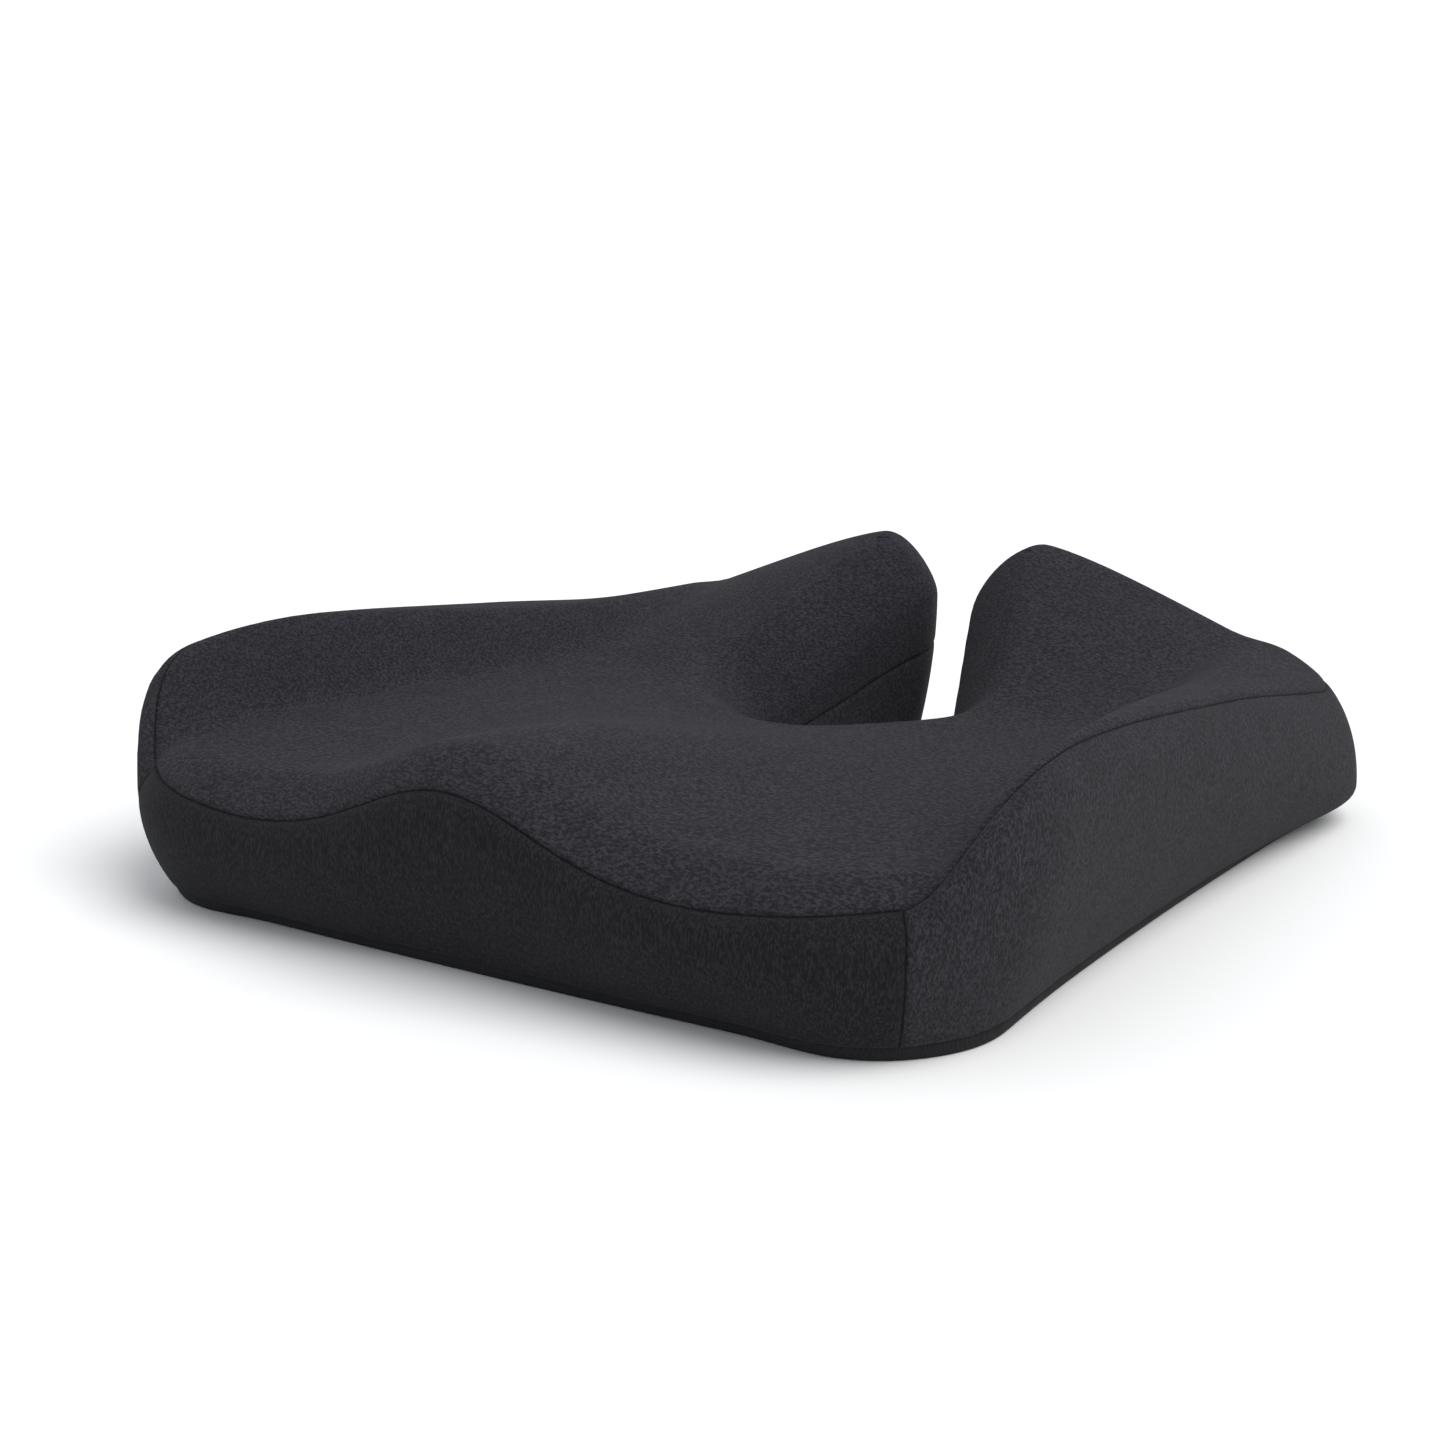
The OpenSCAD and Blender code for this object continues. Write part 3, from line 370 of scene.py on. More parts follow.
def heatherKnit(name, dark, mid, light, fleck, seed, contrast=0.1):
    # Brushed heather jersey of polyester: dark and pale fibres spun together, so that its colour breaks
    # into short flecks along the yarn. The yarn is 0.4 mm; a fleck is drawn as long and wide as it shows.
    # Beside a seam the cloth is painted darker, as shade in the seam's crease, and pulled into fine puckers.
    material, tree, shader = newMaterial(name, 0.95, sheen=0.02, sheenRoughness=0.6, specular=0.1)
    place = addNode(tree, "ShaderNodeTexCoord")
    spots = [1000 / size for size in fleck]
    flecksAt = addNode(tree, "ShaderNodeMapping", {"Vector": place.outputs["Object"],
                       "Location": (seed, seed, 0), "Scale": spots})
    flecks = addNode(tree, "ShaderNodeTexNoise", {"Vector": flecksAt.outputs["Vector"], "Scale": 0.8,
                     "Detail": 2.5, "Roughness": 0.6, "Distortion": 0.35})
    fibresAt = addNode(tree, "ShaderNodeMapping", {"Vector": place.outputs["Object"],
                       "Location": (0, seed, seed), "Scale": [2.1 * spot for spot in spots]})
    fibres = addNode(tree, "ShaderNodeTexNoise", {"Vector": fibresAt.outputs["Vector"], "Scale": 0.9,
                     "Detail": 1.5, "Roughness": 0.5})
    clouds = addNode(tree, "ShaderNodeTexNoise", {"Vector": place.outputs["Object"], "Scale": 45.0,
                     "Detail": 2.0})
    base = addNode(tree, "ShaderNodeValToRGB", {"Fac": flecks.outputs["Fac"]})
    stops = base.color_ramp
    stops.elements[0].position, stops.elements[0].color = 0.5 - contrast, linear(dark)
    stops.elements[1].position, stops.elements[1].color = 0.5 + contrast, linear(light)
    stops.elements.new(0.5).color = linear(mid)
    fibreTone = addNode(tree, "ShaderNodeMapRange", {"Value": fibres.outputs["Fac"], "From Min": 0.32,
                        "From Max": 0.68, "To Min": 0.8, "To Max": 1.2})
    cloudTone = addNode(tree, "ShaderNodeMapRange", {"Value": clouds.outputs["Fac"], "From Min": 0.3,
                        "From Max": 0.7, "To Min": 0.94, "To Max": 1.06})
    gap = addNode(tree, "ShaderNodeAttribute", attribute_name="seamGap")
    run = addNode(tree, "ShaderNodeAttribute", attribute_name="seamRun")
    # Painted shade: within 0.75 mm of a seam the colour falls to 0.35 of itself, as shade in the seam's
    # crease
    seamCreaseShade = addNode(tree, "ShaderNodeMapRange", {"Value": gap.outputs["Fac"], "From Min": 0.1,
                       "From Max": 0.75, "To Min": 0.35, "To Max": 1.0})
    tone = addNode(tree, "ShaderNodeMath", {0: fibreTone.outputs["Result"], 1: cloudTone.outputs["Result"]},
                   operation="MULTIPLY")
    shade = addNode(tree, "ShaderNodeMath", {0: tone.outputs["Value"], 1: seamCreaseShade.outputs["Result"]},
                    operation="MULTIPLY")
    colour = addNode(tree, "ShaderNodeVectorMath", {0: base.outputs["Color"],
                     "Scale": shade.outputs["Value"]}, operation="SCALE")
    tree.links.new(colour.outputs["Vector"], shader.inputs["Base Color"])
    wave = addNode(tree, "ShaderNodeMath", {0: run.outputs["Fac"], 1: 2 * math.pi / cloth["finePuckerPitch"]},
                   operation="MULTIPLY")
    ripple = addNode(tree, "ShaderNodeMath", {0: wave.outputs["Value"]}, operation="SINE")
    fade = addNode(tree, "ShaderNodeMapRange", {"Value": gap.outputs["Fac"], "From Min": 0.4, "From Max": 5.0,
                   "To Min": 0.3, "To Max": 0.0})
    pucker = addNode(tree, "ShaderNodeMath", {0: ripple.outputs["Value"], 1: fade.outputs["Result"]},
                     operation="MULTIPLY")
    weave = addNode(tree, "ShaderNodeMath", {0: flecks.outputs["Fac"], 1: fibres.outputs["Fac"]},
                    operation="ADD")
    height = addNode(tree, "ShaderNodeMath", {0: weave.outputs["Value"], 1: pucker.outputs["Value"]},
                     operation="ADD")
    bump = addNode(tree, "ShaderNodeBump", {"Height": height.outputs["Value"], "Strength": 0.3,
                   "Distance": 0.0003})
    tree.links.new(bump.outputs["Normal"], shader.inputs["Normal"])
    return material


def plainMaterial(name, hexColour, roughness, grain, **settings):
    # A plain finish with a fine grain of the given size in millimetres, read from Object coordinates
    material, tree, shader = newMaterial(name, roughness, **settings)
    place = addNode(tree, "ShaderNodeTexCoord")
    noise = addNode(tree, "ShaderNodeTexNoise", {"Vector": place.outputs["Object"], "Scale": 1000 / grain,
                    "Detail": 3.0})
    tone = addNode(tree, "ShaderNodeMapRange", {"Value": noise.outputs["Fac"], "To Min": 0.75,
                   "To Max": 1.25})
    wear = addNode(tree, "ShaderNodeTexNoise", {"Vector": place.outputs["Object"], "Scale": 90.0,
                   "Detail": 2.0})
    spread = 0.08
    worn = addNode(tree, "ShaderNodeMapRange", {"Value": wear.outputs["Fac"], "From Min": 0.3,
                   "From Max": 0.7, "To Min": max(roughness - spread, 0),
                   "To Max": min(roughness + spread, 1)})
    colour = addNode(tree, "ShaderNodeVectorMath", {0: linear(hexColour)[:3],
                     "Scale": tone.outputs["Result"]}, operation="SCALE")
    tree.links.new(colour.outputs["Vector"], shader.inputs["Base Color"])
    tree.links.new(worn.outputs["Result"], shader.inputs["Roughness"])
    bump = addNode(tree, "ShaderNodeBump", {"Height": noise.outputs["Fac"], "Strength": 0.3,
                   "Distance": 0.0001})
    tree.links.new(bump.outputs["Normal"], shader.inputs["Normal"])
    return material


def wovenMaterial(name, hexColour, roughness, pitch):
    # Plain weave: two sets of threads cross at a pitch in millimetres, each crown paler than its hollow
    material, tree, shader = newMaterial(name, roughness, specular=0.25)
    place = addNode(tree, "ShaderNodeTexCoord")
    bands = 1000 / (pitch * 20) * 2 * math.pi  # a band of the wave node is 2 pi / 20 wide at scale 1
    warp, weft = (addNode(tree, "ShaderNodeTexWave", {"Vector": place.outputs["Object"], "Scale": bands,
                          "Distortion": 0.6, "Detail": 1.0}, bands_direction=way) for way in "XY")
    both = addNode(tree, "ShaderNodeMath", {0: warp.outputs["Fac"], 1: weft.outputs["Fac"]},
                   operation="MULTIPLY")
    tone = addNode(tree, "ShaderNodeMapRange", {"Value": both.outputs["Value"], "To Min": 0.7,
                   "To Max": 1.35})
    colour = addNode(tree, "ShaderNodeVectorMath", {0: linear(hexColour)[:3],
                     "Scale": tone.outputs["Result"]}, operation="SCALE")
    tree.links.new(colour.outputs["Vector"], shader.inputs["Base Color"])
    bump = addNode(tree, "ShaderNodeBump", {"Height": both.outputs["Value"], "Strength": 0.5,
                   "Distance": 0.0002})
    tree.links.new(bump.outputs["Normal"], shader.inputs["Normal"])
    return material


# The seat's jersey: charcoal with soft short flecks, longest across the cushion
topKnit = heatherKnit("heather jersey, seat", "#1f1e22", "#28272c", "#333238", (1.6, 1.1, 0.7), 3)
# The front's jersey: its yarn upright, so the flecks are thin and tall. Nearly black, partly its own darker
# knit and partly painted shade for the front, which faces away from the light
frontKnitPaintedShade = heatherKnit("heather jersey, front band, darker with painted shade", "#161618", "#1c1c1e", "#262628", (0.6, 0.6, 2.6), 11)
# The other bands: the seat's tone, with the yarn upright
sideKnit = heatherKnit("heather jersey, side band", "#201f22", "#29282c", "#343338", (0.7, 0.7, 1.6), 23)
# A flat dull cloth, with dull rubbery dots printed on it that are a little paler
baseCloth = wovenMaterial("non-slip base cloth, woven polyester", "#1d1d1f", 0.85, 0.9)
dotRubber = plainMaterial("silicone print dots", "#2b2b2e", 0.55, 0.6)
# Both pale and without a shine, inside the cover
linerKnit = plainMaterial("liner, fine white jersey", "#b9bcc1", 0.9, 0.8)
foamMaterial = plainMaterial("memory foam, open cell", "#d9d3c3", 0.95, 0.6)
# Matt black tape, smooth teeth with a slight shine, and grey paint that keeps some metal in it
tapeWeave = wovenMaterial("zip tape, woven polyester", "#19191a", 0.85, 0.6)
teethPlastic = plainMaterial("zip teeth, acetal", "#1f1f22", 0.4, 0.4)
zipPaint = plainMaterial("zip slider, painted zinc", "#5f6165", 0.38, 0.5, metallic=0.9)
threadMaterial = plainMaterial("sewing thread, polyester", "#111112", 0.7, 0.3)
print("materials made")


def spineNumbers(u):
    # The middle line's points for a set of lines, and the point that each line ends on
    half = len(u) // 2
    m = u[: half // 2 + 1]
    right = np.stack([atLine("midX", m), atLine("midY", m)], -1)
    mids = np.vstack([right, right[1:] * [-1, 1]])
    i = np.arange(len(u))
    h = np.where(i <= half, i, len(u) - i)
    key = np.minimum(h, half - h)
    ends = np.where((i <= half) | (key == 0), key, len(right) - 1 + key)
    return mids, ends


def capQuads(u, rows, start=0):
    # Faces of a surface of closed rings that ends on the middle line
    ends = spineNumbers(u)[1]
    i = np.arange(len(u))
    j = (i + 1) % len(u)
    last, middle = start + (rows - 1) * len(u), start + rows * len(u)
    closing = np.stack([last + i, last + j, middle + ends[j], middle + ends], 1)
    return np.vstack([gridQuads(rows, len(u), True, start), closing])


def withMiddle(u, rings, depth):
    # The rings' points and then the middle line's, at the seat's height less the depth
    mids = spineNumbers(u)[0]
    heights = seatHeight(mids[:, 0], mids[:, 1]) - depth
    return np.vstack([rings.reshape(-1, 3), np.column_stack([mids, heights])])


def ringJoin(u, below, above):
    # Strip of quads from one ring of points to another
    i = np.arange(len(u))
    j = (i + 1) % len(u)
    return np.stack([below + i, below + j, above + j, above + i], 1)


def topPanel():
    # From the seam over the roll to the middle line, rows closest together beside the seam
    lines = coverLines
    lengths = surfaceLengths(lines)
    seamLength = lengthAt(lengths, atLine("seam", lines)[None, :])
    first = seamLength + nearSeam
    rest = mix(first[-1:], lengths[-1:], np.linspace(0, 1, 47)[1:-1, None] ** 1.3)
    rows = np.vstack([first, rest])
    s, u = stationAt(lengths, rows), np.broadcast_to(lines, rows.shape)
    gap = rows - seamLength
    outer, inner = pressed(u, s, gap)
    points = np.vstack([withMiddle(lines, outer, 0), withMiddle(lines, inner, cloth["thickness"])])
    layer = len(points) // 2
    faces = [capQuads(lines, len(rows)), capQuads(lines, len(rows), layer)[:, ::-1],
             ringJoin(lines, layer, 0)]
    mesh = makeMesh("coverTopPanel", points, faces)
    farFromSeam = 90.0
    middle = np.full(layer - gap.size, farFromSeam)
    storeValues(mesh, "seamGap", np.concatenate([gap.ravel(), middle, gap.ravel(), middle]))
    run = np.concatenate([atLine("arc", u).ravel(), middle])
    storeValues(mesh, "seamRun", np.concatenate([run, run]))
    addPiece("coverTopPanel", mesh, [topKnit], "cover_top_panel")


def between(a, b):
    # The outline's lines from a round to b
    u = coverLines if a <= b else np.where(coverLines < a, coverLines + loopLength, coverLines)
    end = b if a <= b else b + loopLength
    inside = np.sort(u[(u > a + 0.001) & (u < end - 0.001)])
    return np.concatenate([[a], inside, [end]])


def bandPanel(name, a, b, node, material):
    # From the base seam up to the top seam, between two corner seams, closed on every edge
    lines = between(a, b)
    lengths = surfaceLengths(lines)
    low = lengthAt(lengths, wallStation(lines, cushion["edgeHeight"])[None, :])
    high = lengthAt(lengths, atLine("seam", lines)[None, :])
    middle = mix(low + nearSeam[-1], high - nearSeam[-1], np.linspace(0, 1, 24)[1:-1, None])
    rows = np.vstack([low + nearSeam, middle, high - nearSeam[::-1]])
    s, u = stationAt(lengths, rows), np.broadcast_to(lines, rows.shape)
    ends = np.minimum(lineGap(u, a), lineGap(u, b))
    gap = np.minimum(np.minimum(rows - low, high - rows), ends)
    outer, inner = pressed(u, s, gap)
    layer, cols = rows.size, rows.shape[1]
    ids = np.arange(layer).reshape(rows.shape)

    def edge(line):
        return np.stack([line[:-1], line[1:], layer + line[1:], layer + line[:-1]], 1)

    faces = [gridQuads(len(rows), cols, False), gridQuads(len(rows), cols, False, layer)[:, ::-1],
             edge(ids[0])[:, ::-1], edge(ids[-1]), edge(ids[:, 0]), edge(ids[:, -1])[:, ::-1]]
    mesh = makeMesh(name, np.vstack([outer.reshape(-1, 3), inner.reshape(-1, 3)]), faces)
    run = np.where(ends < np.minimum(rows - low, high - rows), rows, atLine("arc", u))
    storeValues(mesh, "seamGap", np.concatenate([gap.ravel(), gap.ravel()]))
    storeValues(mesh, "seamRun", np.concatenate([run.ravel(), run.ravel()]))
    addPiece(name, mesh, [material], node)


topPanel()
corner, rear, mouth = (cushion[k] for k in ("cornerSeam", "rearSeam", "mouthSeam"))
bandPanel("coverFrontBand", loopLength - corner, corner, "cover_front_band", frontKnitPaintedShade)
bandPanel("coverSideBandRight", corner, rear, "cover_side_band_right", sideKnit)
bandPanel("coverSideBandLeft", loopLength - rear, loopLength - corner, "cover_side_band_left",
          sideKnit)
bandPanel("coverRearBandRight", rear, mouth, "cover_rear_band_right", sideKnit)
bandPanel("coverRearBandLeft", loopLength - mouth, loopLength - rear, "cover_rear_band_left",
          sideKnit)
bandPanel("coverSlotBand", mouth, loopLength - mouth, "cover_slot_band", sideKnit)
print("cover panels made")

base = {"raise": 0.4, "foot": 1.1, "dotPitch": 15, "dotRadius": 2.3, "dotMargin": 9, "dotSides": 12,
        "dotZipMargin": 4, "zipY": -66.75, "valleyHalfWidth": 13, "tapeLap": 9}


def baseEdge():
    # The base cloth's turned-up edge: a quarter round at the floor, a crease at the base seam
    lines = coverLines
    low = wallStation(lines, cushion["edgeHeight"])[None, :]
    seamHeight = cushion["edgeHeight"]
    heights = np.array([0, 0.1, 0.35, 0.75, 1.3, 2.2, 3.0, 3.6, 4.1, 4.55, 4.9, 5.2, seamHeight])[:, None]
    s, u = low * heights / seamHeight, np.broadcast_to(lines, (len(heights), len(lines)))
    outer, inner = pressed(u, s, (seamHeight - heights) + 0 * s)
    inset = base["foot"] - np.sqrt(base["foot"] ** 2 - np.clip(base["foot"] - heights, 0, base["foot"]) ** 2)
    sideways = np.stack([atLine("nx", u), atLine("ny", u), 0 * u], -1)
    outer = outer - sideways * inset[..., None]
    foot = skin(lines[None, :], 0 * low)
    outer[0], inner[0] = foot - sideways[:1] * base["foot"], foot - sideways[:1] * cloth["thickness"]
    inner[..., 2] = np.maximum(inner[..., 2], 0)
    rows = np.vstack([outer, inner[::-1]])
    layer, cols = rows.shape[0] * rows.shape[1], rows.shape[1]
    faces = [gridQuads(len(rows), cols, True), ringJoin(lines, layer - cols, 0)]
    mesh = makeMesh("coverBaseEdge", rows, faces)
    addPiece("coverBaseEdge", mesh, [baseCloth], "cover_base_edge")


def insideOutline(x, y, inset):
    # Even-odd rule: a point is inside where a ray to its right crosses the outline an odd number of times
    u = innerLines
    foot = skin(u, 0 * u)
    px, py = foot[:, 0] - atLine("nx", u) * inset, foot[:, 1] - atLine("ny", u) * inset
    qx, qy = np.roll(px, -1), np.roll(py, -1)
    x, y = x[:, None], y[:, None]
    crosses = (py > y) != (qy > y)
    at = px + (y - py) * (qx - px) / np.where(qy == py, 1, qy - py)
    return (crosses & (x < at)).sum(1) % 2 == 1


def dotsMesh(side):
    # Shallow domes printed under the base cloth in staggered rows: a rim, a shoulder and a crown each
    pitch, radius, count = base["dotPitch"], base["dotRadius"], base["dotSides"]
    i, j = np.meshgrid(np.arange(-16, 17), np.arange(-18, 19))
    x, y = (i + 0.5 * (j % 2)).ravel() * pitch, j.ravel() * pitch * math.sqrt(3) / 2
    clearOfZip = side * (y - base["zipY"]) > base["valleyHalfWidth"] + base["tapeLap"] + base["dotZipMargin"]
    keep = clearOfZip & insideOutline(x, y, base["dotMargin"])
    centres = np.stack([x[keep], y[keep], 0 * x[keep]], -1)
    a = np.linspace(0, 2 * math.pi, count, endpoint=False)

    def ring(share, z):
        return np.stack([share * radius * np.cos(a), share * radius * np.sin(a), 0 * a + z], -1)

    buried = base["raise"] + 0.2
    rings = [ring(0.9, buried), ring(1, base["raise"]), ring(0.8, 0.14), ring(0.45, 0.03)]
    dome = np.vstack(rings + [[[0, 0, 0], [0, 0, buried]]])
    k = np.arange(count)
    m = (k + 1) % count
    last, crown = 3 * count, 4 * count
    sides = np.vstack([np.stack([r + k, r + count + k, r + count + m, r + m], 1)
                       for r in range(0, last, count)])
    ends = np.vstack([np.stack([last + k, 0 * k + crown, last + m], 1),
                      np.stack([k, m, 0 * k + crown + 1], 1)])
    shift = np.arange(len(centres))[:, None, None] * len(dome)
    points = centres[:, None] + dome
    mesh = makeMesh("dots", points, [(sides + shift).reshape(-1, 4), (ends + shift).reshape(-1, 3)])
    mesh.polygons.foreach_set("material_index", np.ones(len(mesh.polygons), np.int32))
    return mesh


def basePanel(name, node, side):
    # The flat base cloth on one side of the zip, its edges eased, raised on the dots printed under it
    shape = bmesh.new()
    shape.from_mesh(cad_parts[node].data)
    bmesh.ops.remove_doubles(shape, verts=shape.verts, dist=1e-6)
    bmesh.ops.dissolve_limit(shape, angle_limit=math.radians(1), verts=shape.verts, edges=shape.edges)
    for vert in shape.verts:
        vert.co.z = max(vert.co.z, base["raise"] * mm)
    rim = [e for e in shape.edges if e.calc_face_angle(0) > math.radians(60)]
    bmesh.ops.bevel(shape, geom=rim, offset=0.3 * mm, segments=2, profile=0.5, affect="EDGES")
    for face in shape.faces:
        face.smooth = True
    dots = dotsMesh(side)
    shape.from_mesh(dots)
    mesh = bpy.data.meshes.new(name)
    shape.to_mesh(mesh)
    shape.free()
    bpy.data.meshes.remove(dots)
    mesh.set_sharp_from_angle(angle=math.radians(40))
    addPiece(name, mesh, [baseCloth, dotRubber], node)


baseEdge()
basePanel("coverBaseFront", "cover_base_front", -1)
basePanel("coverBaseRear", "cover_base_rear", 1)
print("base made")

inside = {"linerDepth": 2.9, "linerThickness": 0.8, "linerZ": 3.0, "foamDepth": 4.1, "foamZ": 4.2,
          "tunnelHalf": (190.2, 16), "tunnelTop": 10.6, "threadDepth": 2.25, "threadRadius": 0.4,
          "threadSides": 8, "threadMargin": 0.07, "threadRings": 40}


def layerRings(depth, z):
    # Rings of the surface at a depth under the cover, from a flat lower edge at height z to the middle line.
    # The lowest station is found in steps: the height wanted plus what the normal takes away
    lines = innerLines
    lengths = surfaceLengths(lines)
    low = wallStation(lines, z)[None, :]
    for _ in range(6):
        low = wallStation(lines, z + skinNormal(lines[None, :], low)[..., 2] * depth)
    start = lengthAt(lengths, low)
    rows = mix(start, lengths[-1:], np.linspace(0, 1, 49)[:-1, None])
    s, u = stationAt(lengths, rows), np.broadcast_to(lines, rows.shape)
    rings = skin(u, s) - skinNormal(u, s) * depth
    rings[0, :, 2] = z
    return rings


def innerLiner():
    # The thin sleeve between cover and foam: two parallel faces, closed round the lower edge
    lines = innerLines
    depth, thick, z = inside["linerDepth"], inside["linerThickness"], inside["linerZ"]
    outer, inner = layerRings(depth, z), layerRings(depth + thick, z)
    points = np.vstack([withMiddle(lines, outer, depth), withMiddle(lines, inner, depth + thick)])
    layer = len(points) // 2
    faces = [capQuads(lines, len(outer)), capQuads(lines, len(outer), layer)[:, ::-1],
             ringJoin(lines, layer, 0)]
    mesh = makeMesh("innerLinerTop", points, faces)
    addPiece("innerLinerTop", mesh, [linerKnit], "inner_liner_top")


def foamCore():
    # The moulded core: the surface at its depth, a flat floor, and a channel cut over the zip
    lines = innerLines
    cap = layerRings(inside["foamDepth"], inside["foamZ"])
    mids = spineNumbers(lines)[0]
    top = withMiddle(lines, cap, inside["foamDepth"])
    floorMid = np.column_stack([mids, 0 * mids[:, 0] + inside["foamZ"]])
    flat = capQuads(lines, 1, 0)[:, ::-1]
    flat = np.where(flat >= len(lines), flat - len(lines) + len(top), flat)
    mesh = makeMesh("foamCore", np.vstack([top, floorMid]), [capQuads(lines, len(cap)), flat])
    core = bpy.data.objects.new("foamCoreBlank", mesh)
    scene.collection.objects.link(core)
    channel = bmesh.new()
    bmesh.ops.create_cube(channel, size=1)
    halfLength, halfAcross = inside["tunnelHalf"]
    for vert in channel.verts:
        vert.co = Vector((2 * halfLength * vert.co.x, base["zipY"] + 2 * halfAcross * vert.co.y,
                          2 * inside["tunnelTop"] * vert.co.z)) * mm
    cutterMesh = bpy.data.meshes.new("channel")
    channel.to_mesh(cutterMesh)
    channel.free()
    cutter = bpy.data.objects.new("channel", cutterMesh)
    scene.collection.objects.link(cutter)
    cut = core.modifiers.new("channel", "BOOLEAN")
    cut.operation, cut.solver, cut.object = "DIFFERENCE", "EXACT", cutter
    bpy.context.view_layer.update()
    finished = bpy.data.meshes.new_from_object(core.evaluated_get(bpy.context.evaluated_depsgraph_get()))
    for helper in (core, cutter):
        bpy.data.objects.remove(helper)
    finished.materials.clear()
    addPiece("foamCore", finished, [foamMaterial], "foam_core")


def threadTube(u, s, closed, start=0):
    # A round thread along a path on the surface, behind the cover's inner face
    around = inside["threadSides"]
    place, normal = skin(u, s), skinNormal(u, s)
    along = (np.roll(place, -1, 0) - np.roll(place, 1, 0)) if closed else np.gradient(place, axis=0)
    across = np.cross(normal, along)
    across /= np.linalg.norm(across, axis=-1, keepdims=True)
    centre = place - normal * inside["threadDepth"]
    a = np.linspace(0, 2 * math.pi, around, endpoint=False)[None, :, None]
    turned = np.cos(a) * normal[:, None] + np.sin(a) * across[:, None]
    points = centre[:, None] + inside["threadRadius"] * turned
    last = (len(u) - 1) * around
    quads = gridQuads(len(u), around, True, start)
    if closed:
        k = np.arange(around)
        m = (k + 1) % around
        quads = np.vstack([quads, start + np.stack([last + k, last + m, m, k], 1)])
    else:
        for at, turn in ((0, 1), (last, -1)):
            caps = start + at + np.array([[0, 3, 2, 1], [0, 5, 4, 3], [0, 7, 6, 5]])[:, ::turn]
            quads = np.vstack([quads, caps])
    return points.reshape(-1, 3), quads


def seamThreads():
    # Two loops round the outline, and six short runs up the corner seams in one piece
    lines = coverLines
    for name, node, s in (("topSeamThread", "top_seam_thread", atLine("seam", lines)),
                          ("baseSeamThread", "base_seam_thread", wallStation(lines, cushion["edgeHeight"]))):
        points, quads = threadTube(lines, s, True)
        addPiece(name, makeMesh(name, points, [quads], 60), [threadMaterial], node)
    parts, faces, count = [], [], 0
    for line in (corner, rear, mouth, loopLength - mouth, loopLength - rear, loopLength - corner):
        low = wallStation(line, cushion["edgeHeight"]) + inside["threadMargin"]
        high = atLine("seam", line) - inside["threadMargin"]
        s = np.linspace(low, high, inside["threadRings"])
        points, quads = threadTube(line + 0 * s, s, False, count)
        parts.append(points)
        faces.append(quads)
        count += len(points)
    mesh = makeMesh("cornerSeamThreads", np.vstack(parts), [np.vstack(faces)], 60)
    addPiece("cornerSeamThreads", mesh, [threadMaterial], "corner_seam_threads")


innerLiner()
foamCore()
seamThreads()
print("liner, foam and threads made")

# The zip and the liner's base keep the model's own meshes, in these materials
for nodeName, material in {
    "inner_liner_base": linerKnit, "zip_tape_front": tapeWeave, "zip_tape_rear": tapeWeave,
    "zip_teeth_front": teethPlastic, "zip_teeth_rear": teethPlastic, "zip_top_stops": teethPlastic,
    "zip_bottom_stop": teethPlastic, "zip_slider": zipPaint, "zip_pull_tab": zipPaint,
}.items():
    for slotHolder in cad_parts[nodeName].material_slots:
        slotHolder.material = material

# Plain pale floor, soft light from the right and a little behind, a pale sky that fills the shadows
studio = {"floor": "#f4f4f4", "sky": (0.94, 0.97, 1.0), "skyLight": 0.72, "skySeen": 1.15, "floorSize": 60.0,
          "sunAzimuth": 4, "sunHeight": 58, "sunStrength": 2.1, "sunAngle": 50,
          "sunColour": (1.0, 0.985, 0.97)}
bpy.ops.mesh.primitive_plane_add(size=studio["floorSize"], location=(0, 0, 0))
floor = bpy.context.object
floor.name = "floor"
floorMaterial, floorTree, floorShader = newMaterial("studio floor, painted", 0.9, specular=0.1)
floorShader.inputs["Base Color"].default_value = linear(studio["floor"])
floor.data.materials.append(floorMaterial)

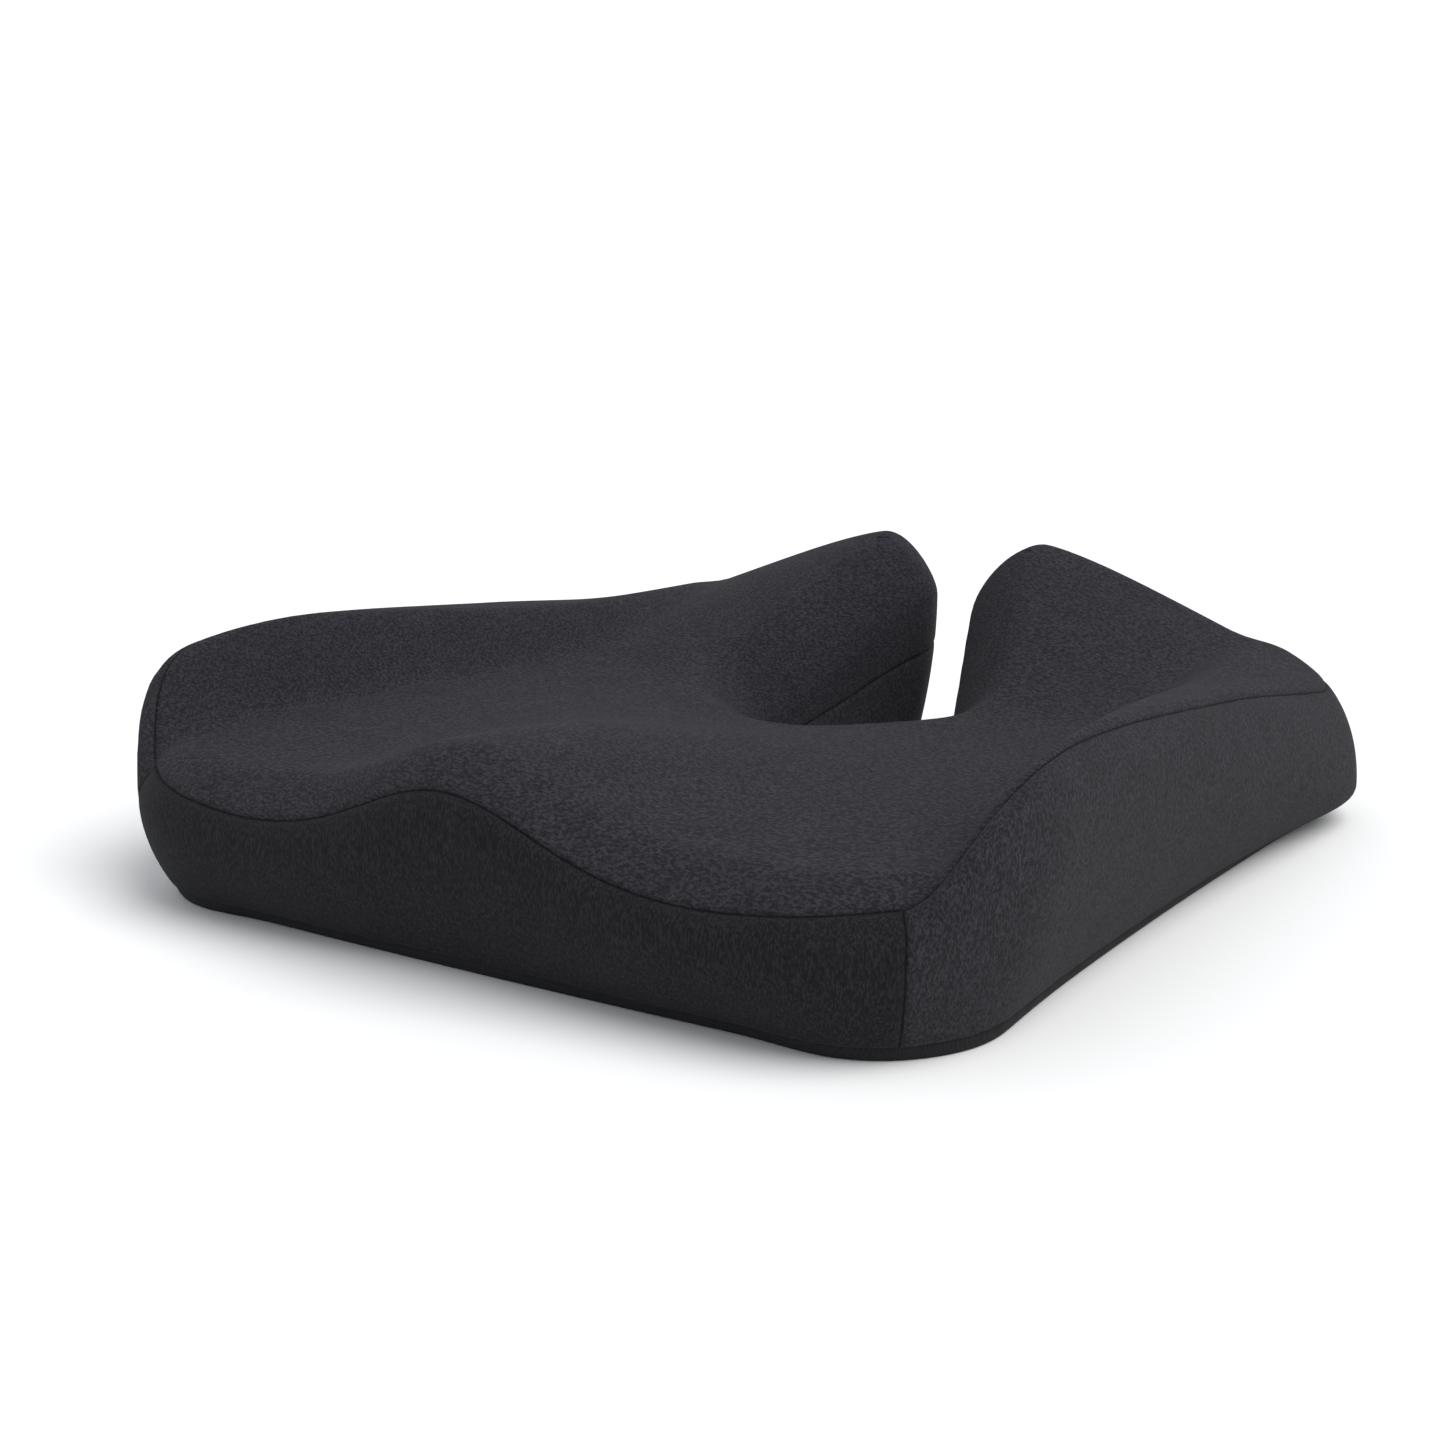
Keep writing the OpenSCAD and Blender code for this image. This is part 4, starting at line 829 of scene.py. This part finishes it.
scene.view_settings.view_transform = "Standard"
world = bpy.data.worlds.new("studio")
scene.world = world
world.use_nodes = True
sky = world.node_tree.nodes["Background"]
sky.inputs["Color"].default_value = (*studio["sky"], 1)
path = addNode(world.node_tree, "ShaderNodeLightPath")
strength = addNode(world.node_tree, "ShaderNodeMapRange", {"Value": path.outputs["Is Camera Ray"],
                   "To Min": studio["skyLight"], "To Max": studio["skySeen"]})
world.node_tree.links.new(strength.outputs["Result"], sky.inputs["Strength"])


def addSun():
    # Direction towards the sun: (cos a cos h, sin a cos h, sin h)
    a, h = math.radians(studio["sunAzimuth"]), math.radians(studio["sunHeight"])
    data = bpy.data.lights.new("softSun", "SUN")
    data.energy, data.angle = studio["sunStrength"], math.radians(studio["sunAngle"])
    data.color = studio["sunColour"]
    sun = bpy.data.objects.new("softSun", data)
    scene.collection.objects.link(sun)
    towards = Vector((math.cos(a) * math.cos(h), math.sin(a) * math.cos(h), math.sin(h)))
    sun.rotation_euler = towards.to_track_quat("Z", "Y").to_euler()


addSun()

# Camera at the viewing angle, in degrees and millimetres
view = {"azimuth": 34.28, "elevation": 13.89, "distance": 1084.1, "target": (-38.8, 28.3, 50), "roll": -0.87,
        "lens": 55.61938, "sensor": 36.0}


def addCamera():
    # Looks along F = (-sin a cos e, cos a cos e, -sin e) from target - F * distance, rolled about F
    a, e, r = (math.radians(view[k]) for k in ("azimuth", "elevation", "roll"))
    forward = np.array([-math.sin(a) * math.cos(e), math.cos(a) * math.cos(e), -math.sin(e)])
    right = np.array([math.cos(a), math.sin(a), 0])
    up = np.cross(right, forward)
    right, up = right * math.cos(r) + up * math.sin(r), up * math.cos(r) - right * math.sin(r)
    place = (np.array(view["target"]) - forward * view["distance"]) * mm
    data = bpy.data.cameras.new("camera")
    data.sensor_width = view["sensor"]
    data.lens = view["lens"]
    camera = bpy.data.objects.new("camera", data)
    scene.collection.objects.link(camera)
    matrix = np.eye(4)
    matrix[:3, 0], matrix[:3, 1], matrix[:3, 2], matrix[:3, 3] = right, up, -forward, place
    camera.matrix_world = Matrix(matrix.tolist())
    scene.camera = camera


addCamera()
print("stage set")
